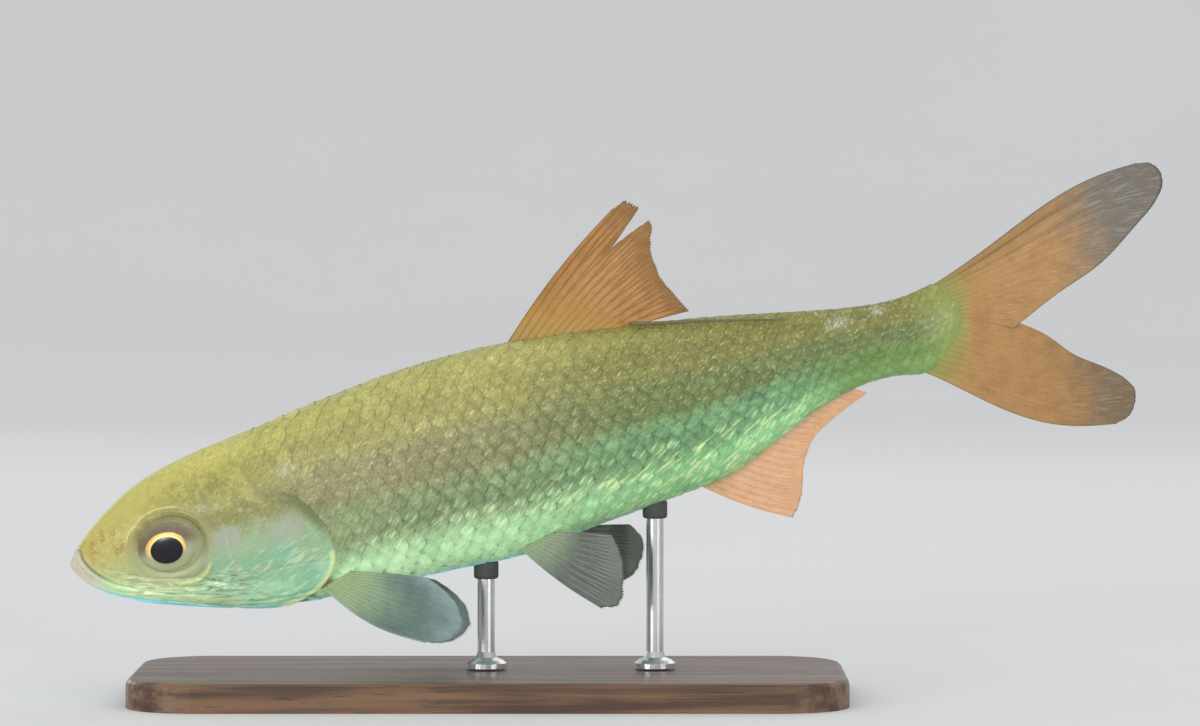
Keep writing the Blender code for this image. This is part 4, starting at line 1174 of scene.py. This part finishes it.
def scale_columns(pitch):
    """Places of the scales along a row. They are closer together towards the tail."""
    places = [FIRST_SCALE]
    while places[-1] < LAST_SCALE:
        places.append(places[-1] + pitch * float(narrowed(places[-1])))
    return np.array(places)


def row_height(wrap, x, height):
    """Height of a row, which shrinks with the body, but less than the body does."""
    return height * (wrap.above(x) / FULL_RISE) ** ROW_SHRINK


def scale_places(wrap, pitch, height):
    """Column and row of each scale of one flank, as x, row number and random draw."""
    columns = scale_columns(pitch)
    draw = np.random.default_rng(LEFT_SEED)
    places = []
    for row in FLANK_ROWS:
        for n in range(len(columns) - 1):
            x = columns[n] + (columns[n + 1] - columns[n]) * (0.5 if row % 2 else 0.0)
            s = row * float(row_height(wrap, x, height))
            room = 0.35 * float(row_height(wrap, x, height))
            if s > wrap.above(x) - room or s < wrap.below(x) + room:
                continue
            point = body_point(np.array(x), wrap.angle(np.array(x), np.array(s)))
            behind = float(beside(point[..., 0:1], point[..., 2:3], GILL_EDGE)[0])
            if behind < 0.2 * pitch or x > 160.8:
                continue
            places.append((x, row, draw.random()))
    return places


def scale_coat(name, wrap, places, base, side, look, skin_look, tucked=0):
    """Copies the scale to each place, bends it round the body and joins the copies in one mesh."""
    shape, shape_faces = scale_shape()
    pitch, height = look.pitch / MM, look.row / MM
    count, size = len(places), len(shape)
    x0, row, chance = (np.array(column)[:, None] for column in zip(*places))
    a, b, layer = shape[None, :, 0], shape[None, :, 1], shape[None, :, 2]
    draw = np.random.default_rng(count)
    turn, shift, slip, growth = (draw.normal(0.0, spread, (count, 1)) for spread in SCALE_VARIES)
    turned_a, turned_b = a * np.cos(turn) - b * np.sin(turn), a * np.sin(turn) + b * np.cos(turn)
    x = np.clip(x0 + (turned_a * (1 + growth) + shift) * pitch * narrowed(x0), 1.0, BODY_LENGTH - 0.6)
    s = base(x) + (row + slip + turned_b * ROW_OVERLAP * (1 + growth)) * row_height(wrap, x, height)
    angle = wrap.angle(x, s)
    points = body_point(x, angle)
    depth = coat_depth(skin_look, x0)
    lift = -depth + depth * (a + 1) / 2 * (0.88 + 0.24 * chance) - (0.05 + 0.10 * tucked) * b**2
    lift = lift - 0.03 - np.where(layer < -0.5, look.thickness / MM, 0.0)
    placed = points + body_normal(x, angle) * lift[..., None]
    lie = stacked(x / BODY_LENGTH, height_share(x, points[..., 2]), angle)
    if side == RIGHT:
        placed[..., 1] *= -1
        points[..., 1] *= -1
    faces = []
    for n in range(count):
        for face in shape_faces:
            corners = [corner + n * size for corner in face]
            faces.append(corners[::-1] if side == RIGHT else corners)
    mesh = bpy.data.meshes.new(name)
    mesh.from_pydata(placed.reshape(-1, 3).tolist(), [], faces)
    piece = bpy.data.objects.new(name, mesh)
    bpy.context.scene.collection.objects.link(piece)
    store(piece, "straight", points)
    store(piece, "lie", lie)
    store(piece, "scale_place", stacked(np.where(layer < -0.5, -1.0, a), b, chance))
    unwrap = mesh.uv_layers.new(name="OFBake")
    root_angle = wrap.angle(x0, base(x0) + row * row_height(wrap, x0, height))
    u = UV_MARGIN + UV_SPAN * x0 / BODY_LENGTH + a * UV_SCALE
    v = UV_MARGIN + UV_SPAN * (root_angle + math.pi / 2) / TURN + b * UV_SCALE
    corners = np.empty(len(mesh.loops), np.int32)
    mesh.loops.foreach_get("vertex_index", corners)
    unwrap.data.foreach_set("uv", stacked(u, v).reshape(-1, 2)[corners].astype(np.float32).ravel())
    set_swimming(piece)
    return piece


class TARPON_OT_scales(bpy.types.Operator):
    """Cover the body with overlapping scales in rows"""

    bl_idname = "tarpon.scales"
    bl_label = "Scales"

    def execute(self, context):
        look, skin_look = context.scene.tarpon_scales, context.scene.tarpon_skin
        wrap = Wrap()
        left = scale_places(wrap, look.pitch / MM, look.row / MM)
        draw = np.random.default_rng(RIGHT_SEED)
        right = [(x, row, draw.random()) for x, row, _ in left]
        draw = np.random.default_rng(RIDGE_SEED)
        back, belly = (
            [(x, 0, draw.random()) for x in scale_columns(look.pitch / MM) if start < x < end]
            for start, end in (BACK_SCALES, BELLY_SCALES)
        )
        material = scale_material(skin_look)
        for name, places, base, side, tucked in (
            ("scales_left", left, lambda x: 0.0 * x, LEFT, 0),
            ("scales_right", right, lambda x: 0.0 * x, RIGHT, 0),
            ("scales_back", back, wrap.above, LEFT, 1),
            ("scales_belly", belly, wrap.below, LEFT, 1),
        ):
            coat = scale_coat(name, wrap, places, base, side, look, skin_look, tucked)
            dress(coat, material, smooth=50)
        return {"FINISHED"}


# Eyes


def skin_falls(place, angles, side):
    """How far the skin round an eye lies off the plane that touches it at the eye's middle."""
    falls = []
    for angle in angles:
        x = EYE_AT[0] + EYE_RADIUS * math.cos(angle)
        z = EYE_AT[1] - side * EYE_HEIGHT_RATIO * EYE_RADIUS * math.sin(angle)
        falls.append((np.array(on_skin(x, z, side)) - place[:3, 3]) @ place[:3, 2])
    return np.array(falls)


class TARPON_OT_eyes(bpy.types.Operator):
    """Build both eyes, with pupil, gold ring and iris"""

    bl_idname = "tarpon.eyes"
    bl_label = "Eyes"

    def execute(self, context):
        material = eye_material(context.scene.tarpon_eyes)
        section = along(EYE_SECTION, EYE_RINGS)
        section[0, 0] = section[-1, 0] = 0.0
        radius, depth = section[:, 0:1], section[:, 1:2]
        angles = np.linspace(0.0, TURN, EYE_SIDES + 1)
        u = radius * np.cos(angles)
        v = EYE_HEIGHT_RATIO * radius * np.sin(angles)
        for side, word in SIDES:
            place = np.array(skin_frame(EYE_AT, side))
            bent = depth + (radius / EYE_RADIUS) ** 2 * skin_falls(place, angles, side)
            points = stacked(u, v, bent) @ place[:3, :3].T + place[:3, 3]
            piece = sheet("eyeball_" + word, points, {"eye_place": stacked(u, -side * v, bent)})
            dress(piece, material, replaced=["eye_" + word])
        return {"FINISHED"}


# Fins


def aside(points, side=1):
    """Side view points as points of the fish's frame. A third value of a point is its distance aside."""
    return [(p[0], side * p[2] if len(p) > 2 else 0.0, p[1]) for p in points]


def ray_ridges(rays, columns, t, forks):
    """1 on the middle of a ray or branch, 0 between them. Rays fork towards the fin's edge."""
    place = np.linspace(0.0, rays - 1.0, columns)[None, :]
    t = t[:, None]
    loose = np.clip(place - 0.6, 0.0, 1.0)
    nearest = np.full((len(t), columns), 1.0)
    signs = (-1, 1)
    for first in signs:
        for second in signs:
            for third in signs if forks > 2 else (0,):
                spread = first * 0.25 * rise(t, 0.30, 0.85) + second * 0.125 * rise(t, 0.58, 1.0)
                spread = spread + third * 0.0625 * rise(t, 0.80, 1.1)
                nearest = np.minimum(nearest, np.abs((place - spread * loose + 0.5) % 1.0 - 0.5))
    return np.exp(-((nearest / (0.16 - 0.11 * t**0.8)) ** 2))


def fin_piece(name, root, edge, rays, look, bow=(0.0, 0.0), bow_late=1.0, curl=1.0, notch=None, fineness=16,
              rows=52, forks=2, sunk=0.05, stout=1.0, frayed=0.016, fleshy=0.25, fades=3.0):
    """A fin as one thin closed sheet, with forked rays standing on both faces."""
    columns = (rays - 1) * fineness + 1
    roots, tips = along(root, columns), along(edge, columns)
    place = np.linspace(0.0, rays - 1.0, columns)
    # The edge, drawn in between the rays, at random and in a notch.
    fringe = ray_ridges(rays, columns, np.array([1.0]), forks)[0]
    halfway = np.arange(0, rays - 0.5, 0.5)
    ragged = np.interp(place, halfway, np.random.default_rng(len(name)).random(len(halfway)))
    drawn_in = frayed * (1.3 - 1.3 * fringe + ragged)
    if notch:
        at, depth, ahead, behind = notch
        drawn_in = drawn_in + depth * np.interp(place, (at - ahead, at, at + behind), (0.0, 1.0, 0.0))
    tips = tips + (roots - tips) * drawn_in[:, None]
    # The middle surface, bowed in its plane and curled aside.
    spans = tips - roots
    sideways = unit(np.column_stack([-spans[:, 2], np.zeros(columns), spans[:, 0]]))
    bows = np.linspace(*bow, columns)
    t = np.linspace(-sunk, 1.0, rows + 1)
    late = np.clip(t, 0.0, 1.0)
    surface = []
    for here, held in zip(t, late):
        row = roots + spans * here + sideways * (bows * math.sin(math.pi * held**bow_late))[:, None]
        row[:, 1] = roots[:, 1] + spans[:, 1] * held**curl
        surface.append(row)
    surface = np.array(surface)
    normals = unit(np.cross(np.gradient(surface, axis=0), np.gradient(surface, axis=1)))
    # Half the thickness: membrane, rays and the fleshy root.
    ridges = ray_ridges(rays, columns, late, forks)
    membrane = look.membrane / MM * (1 - 0.5 * late[:, None])
    ray = look.ray / MM * stout * (1 - 0.72 * late[:, None] ** 0.7)
    halves = membrane + (ray - membrane) * ridges
    from_root = t[:, None] * np.linalg.norm(spans, axis=1)[None, :]
    halves += fleshy * (1 - rise(from_root, 0.0, fades)) * (0.2 + 0.8 * rise(place, 0.0, 0.25 * rays))[None, :]
    halves[:, : fineness // 2] *= 1.25
    halves[0] = halves[-1] = 0.0
    halves = halves[..., None]

    def lap(front, back):
        """Both faces as one sheet that comes round to where it starts."""
        return np.concatenate([front, back[:, ::-1], front[:, :1]], axis=1)

    where = stacked(place[None, :] / (rays - 1), late[:, None], ridges)
    kept = {"straight": lap(surface, surface), "fin_place": lap(where, where)}
    return sheet(name, lap(surface + normals * halves, surface - normals * halves), kept)


def filament_piece():
    """The last dorsal ray, drawn out into a jointed thread along the back."""
    part = np.linspace(0.0, 1.0, FILAMENT_RINGS)
    middle = []
    for share in part:
        x = FILAMENT_FROM + (FILAMENT_TO - FILAMENT_FROM) * share
        drop = FILAMENT_DROP[0] + (FILAMENT_DROP[1] - FILAMENT_DROP[0]) * share**0.6
        middle.append(on_skin(x, float(sections(x)[0]) - drop, LEFT, 0.72 - 0.15 * share))
    middle = np.array(middle)
    ahead = unit(np.gradient(middle, axis=0))
    sideways = unit(np.cross(ahead, (0.0, 0.0, 1.0)))
    upward = np.cross(sideways, ahead)
    radius = 0.34 - 0.20 * part + 0.02 * np.sin(part * 150.0)
    radius[0] = radius[-1] = 0.0
    angles = np.linspace(0.0, TURN, FILAMENT_SIDES + 1)
    ring = sideways[:, None] * np.cos(angles)[None, :, None] + upward[:, None] * np.sin(angles)[None, :, None]
    points = middle[:, None] + ring * radius[:, None, None]
    where = stacked(0.1, 0.25 + 0.7 * part[:, None], 0.8 + 0 * angles[None, :])
    return sheet("filament", points, {"straight": points, "fin_place": where})


class TARPON_OT_fins(bpy.types.Operator):
    """Build all fins, with forked rays in a clear membrane"""

    bl_idname = "tarpon.fins"
    bl_label = "Fins"

    def execute(self, context):
        look = context.scene.tarpon_fins
        clear = look.opacity
        # Colours of membrane, rays, tips and root, opacity, how dusky tips and front are, how much the rays show,
        # how far the root's colour reaches, and from where on the tips are dusky.
        finishes = {name: fin_material(name, *values) for name, values in {
            "dorsal_fin": (look.dorsal, (0.21, 0.105, 0.028), (0.19, 0.105, 0.04), (0.43, 0.30, 0.10),
                           clear + 0.26, 0.5, 0.6, 0.62, 0.40),
            "tail_fin": (look.tail, (0.25, 0.165, 0.06), (0.155, 0.15, 0.13), (0.29, 0.325, 0.09),
                         clear + 0.44, 0.92, 0.9, 0.36, 0.2, 179),
            "tail_fin_low": (look.tail, (0.29, 0.185, 0.08), (0.18, 0.145, 0.095), (0.29, 0.325, 0.09),
                             clear + 0.44, 0.8, 0.15, 0.32, 0.2, 174),
            "anal_fin": (look.anal, (0.60, 0.33, 0.14), (0.66, 0.42, 0.24), (0.44, 0.60, 0.30),
                         clear + 0.06, 0.2, 0.1, 0.22),
            "pectoral_fins": (look.paired, (0.10, 0.15, 0.135), (0.34, 0.46, 0.46), (0.40, 0.52, 0.26),
                              clear + 0.26, 0.6, 0.1, 0.36, 0.72),
            "pelvic_fins": (look.pelvic, (0.30, 0.33, 0.28), (0.13, 0.15, 0.13), (0.32, 0.42, 0.24),
                            clear + 0.58, 0.4, 0.1, 0.5, 0.5),
            "filament": ((0.19, 0.185, 0.08), (0.13, 0.125, 0.06), (0.10, 0.10, 0.06), (0.34, 0.31, 0.13), 1, 0.2, 0.1),
        }.items()}

        def build(name, finish, node, root, edge, rays, **shape):
            dress(fin_piece(name, root, edge, rays, look, **shape), finishes[finish], replaced=[node])

        over_back, under_belly = (
            [(x, 0.0, float(sections(x)[line]) + inwards) for x in np.linspace(*ends, 8)]
            for ends, line, inwards in ((DORSAL_BASE, 0, -ROOT_DEPTH), (ANAL_BASE, 1, ROOT_DEPTH))
        )
        build("dorsal", "dorsal_fin", "dorsal_fin", over_back, aside(DORSAL_EDGE), 14, bow=(0.9, 0.0),
              notch=(3.0, 0.27, 0.45, 0.9), fineness=20, rows=72, forks=3, frayed=0.015)
        build("anal", "anal_fin", "anal_fin", under_belly, aside(ANAL_EDGE), 22, bow=(-0.6, 0.0), fineness=12,
              rows=40, sunk=0.08)
        lobe = {"fineness": 22, "rows": 84, "forks": 3, "stout": 0.9, "frayed": 0.0025, "fleshy": 0.95, "fades": 7.5}
        build("tail_upper", "tail_fin", "tail_fin_upper", aside(UPPER_LOBE_BASE), aside(UPPER_LOBE_EDGE), 12,
              bow=(2.2, 0.2), bow_late=1.7, **lobe)
        build("tail_lower", "tail_fin_low", "tail_fin_lower", aside(LOWER_LOBE_BASE), aside(LOWER_LOBE_EDGE), 12,
              bow=(-3.4, -0.2), bow_late=1.2, curl=1.5, **lobe)
        for side, word in SIDES:
            pectoral, pelvic = (
                [on_skin(x, z, side, ROOT_LIFT) for x, z in base] for base in (PECTORAL_BASE, PELVIC_BASE)
            )
            edge = PECTORAL_EDGE
            if side == RIGHT:
                edge = [(x, z - PECTORAL_LOWERED, PECTORAL_FOLDED_IN * y) for x, z, y in edge]
            build("pectoral_" + word, "pectoral_fins", "pectoral_fin_" + word, pectoral, aside(edge, side), 14,
                  bow=(-1.5, 0.2), rows=48, stout=0.75)
            build("pelvic_" + word, "pelvic_fins", "pelvic_fin_" + word, pelvic, aside(PELVIC_EDGES[side], side), 11,
                  bow=(-0.5, 0.2), rows=44, stout=0.8)
        dress(filament_piece(), finishes["filament"], replaced=["dorsal_filament"])
        return {"FINISHED"}


# Stand and stage


class TARPON_OT_stand(bpy.types.Operator):
    """Finish the wooden base and the steel rods, and set a soft pad on each rod"""

    bl_idname = "tarpon.stand"
    bl_label = "Stand"

    def execute(self, context):
        look = context.scene.tarpon_stand
        pad, steel = pad_material(), steel_material(look)
        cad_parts["stand_base"].material_slots[0].material = wood_material(look)
        for word in ("front", "rear"):
            rod = "stand_rod_" + word
            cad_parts[rod].material_slots[0].material = steel
            low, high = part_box(rod)
            middle = (low + high) / 2
            select_only()
            bpy.ops.mesh.primitive_cylinder_add(vertices=40, radius=PAD_RADIUS * MM, depth=PAD_HEIGHT * MM,
                                                location=(middle.x, middle.y, high.z - PAD_LOWERED * MM))
            piece = named("stand_pad_" + word)
            bpy.ops.object.transform_apply(location=True, rotation=False, scale=False)
            bevel = piece.modifiers.new("eased", "BEVEL")
            bevel.width = PAD_EASED * MM
            bevel.segments = 3
            bevel.limit_method = "ANGLE"
            bpy.ops.object.modifier_apply(modifier=bevel.name)
            dress(piece, pad, smooth=40)
        return {"FINISHED"}


def aimed(name, data, place, direction):
    """Sets a lamp or camera at its place, looking that way."""
    thing = bpy.data.objects.new(name, data)
    thing.location = place
    thing.rotation_euler = direction.to_track_quat("-Z", "Y").to_euler()
    bpy.context.scene.collection.objects.link(thing)
    return thing


class TARPON_OT_stage(bpy.types.Operator):
    """Set the pale floor, the soft lights and the camera"""

    bl_idname = "tarpon.stage"
    bl_label = "Stage"

    def execute(self, context):
        select_only()
        bpy.ops.mesh.primitive_circle_add(vertices=96, radius=FLOOR_RADIUS, fill_type="TRIFAN", location=(0, 0, 0))
        floor = named("floor")
        edit(floor)
        bpy.ops.mesh.region_to_loop()
        turns = [math.radians(90.0 * n / COVE_STEPS) for n in range(COVE_STEPS + 1)]
        for before, turn in zip(turns, turns[1:]):
            radius, last = (FLOOR_RADIUS + COVE_RADIUS * math.sin(angle) for angle in (turn, before))
            climb = COVE_RADIUS * (math.cos(before) - math.cos(turn))
            bpy.ops.mesh.extrude_edges_move(TRANSFORM_OT_translate={"value": (0.0, 0.0, climb)})
            bpy.ops.transform.resize(value=(radius / last, radius / last, 1.0))
        bpy.ops.object.mode_set(mode="OBJECT")
        floor.data.materials.append(floor_material(context.scene.tarpon_stand))
        bpy.ops.object.shade_smooth()

        world = bpy.data.worlds.new("studio")
        world.use_nodes = True
        for socket, value in ROOM_LIGHT.items():
            world.node_tree.nodes["Background"].inputs[socket].default_value = value
        context.scene.world = world
        context.scene.view_settings.view_transform = "Standard"
        for name, (place, size, power, spread, tint) in LAMPS.items():
            lamp = bpy.data.lights.new(name, "AREA")
            lamp.shape = "DISK"
            lamp.size = size
            lamp.energy = power
            lamp.color = tint
            lamp.spread = math.radians(spread)
            aimed(name, lamp, place, LAMPS_AIM - Vector(place))

        lens = bpy.data.cameras.new("photo_view")
        lens.sensor_width = 36.0
        lens.lens = VIEW_LENS
        lens.clip_start = 0.01
        forward = Vector((0.0, math.cos(VIEW_ELEVATION), -math.sin(VIEW_ELEVATION)))
        context.scene.camera = aimed("photo_view", lens, VIEW_TARGET - forward * VIEW_DISTANCE, forward)
        return {"FINISHED"}


class TARPON_PT_panel(bpy.types.Panel):
    """Lists the steps in the order in which they run"""

    bl_label = "Tarpon"
    bl_idname = "TARPON_PT_panel"
    bl_space_type = "VIEW_3D"
    bl_region_type = "UI"
    bl_category = "Tarpon"

    def draw(self, context):
        for operator in STEPS:
            self.layout.operator(operator.bl_idname)


STEPS = (TARPON_OT_skin, TARPON_OT_scales, TARPON_OT_eyes, TARPON_OT_fins, TARPON_OT_stand, TARPON_OT_stage)
SETTINGS = {
    "tarpon_skin": TarponSkinSettings,
    "tarpon_scales": TarponScaleSettings,
    "tarpon_eyes": TarponEyeSettings,
    "tarpon_fins": TarponFinSettings,
    "tarpon_stand": TarponStandSettings,
}
CLASSES = (*SETTINGS.values(), *STEPS, TARPON_PT_panel)


def register():
    for kind in CLASSES:
        bpy.utils.register_class(kind)
    for name, kind in SETTINGS.items():
        setattr(bpy.types.Scene, name, bpy.props.PointerProperty(type=kind))


def unregister():
    for name in SETTINGS:
        delattr(bpy.types.Scene, name)
    for kind in reversed(CLASSES):
        bpy.utils.unregister_class(kind)


def main():
    register()
    for operator in STEPS:
        group, name = operator.bl_idname.split(".")
        if getattr(getattr(bpy.ops, group), name)() != {"FINISHED"}:
            raise RuntimeError("the step did not finish: " + operator.bl_label)
    select_only()


if __name__ == "__main__":
    main()
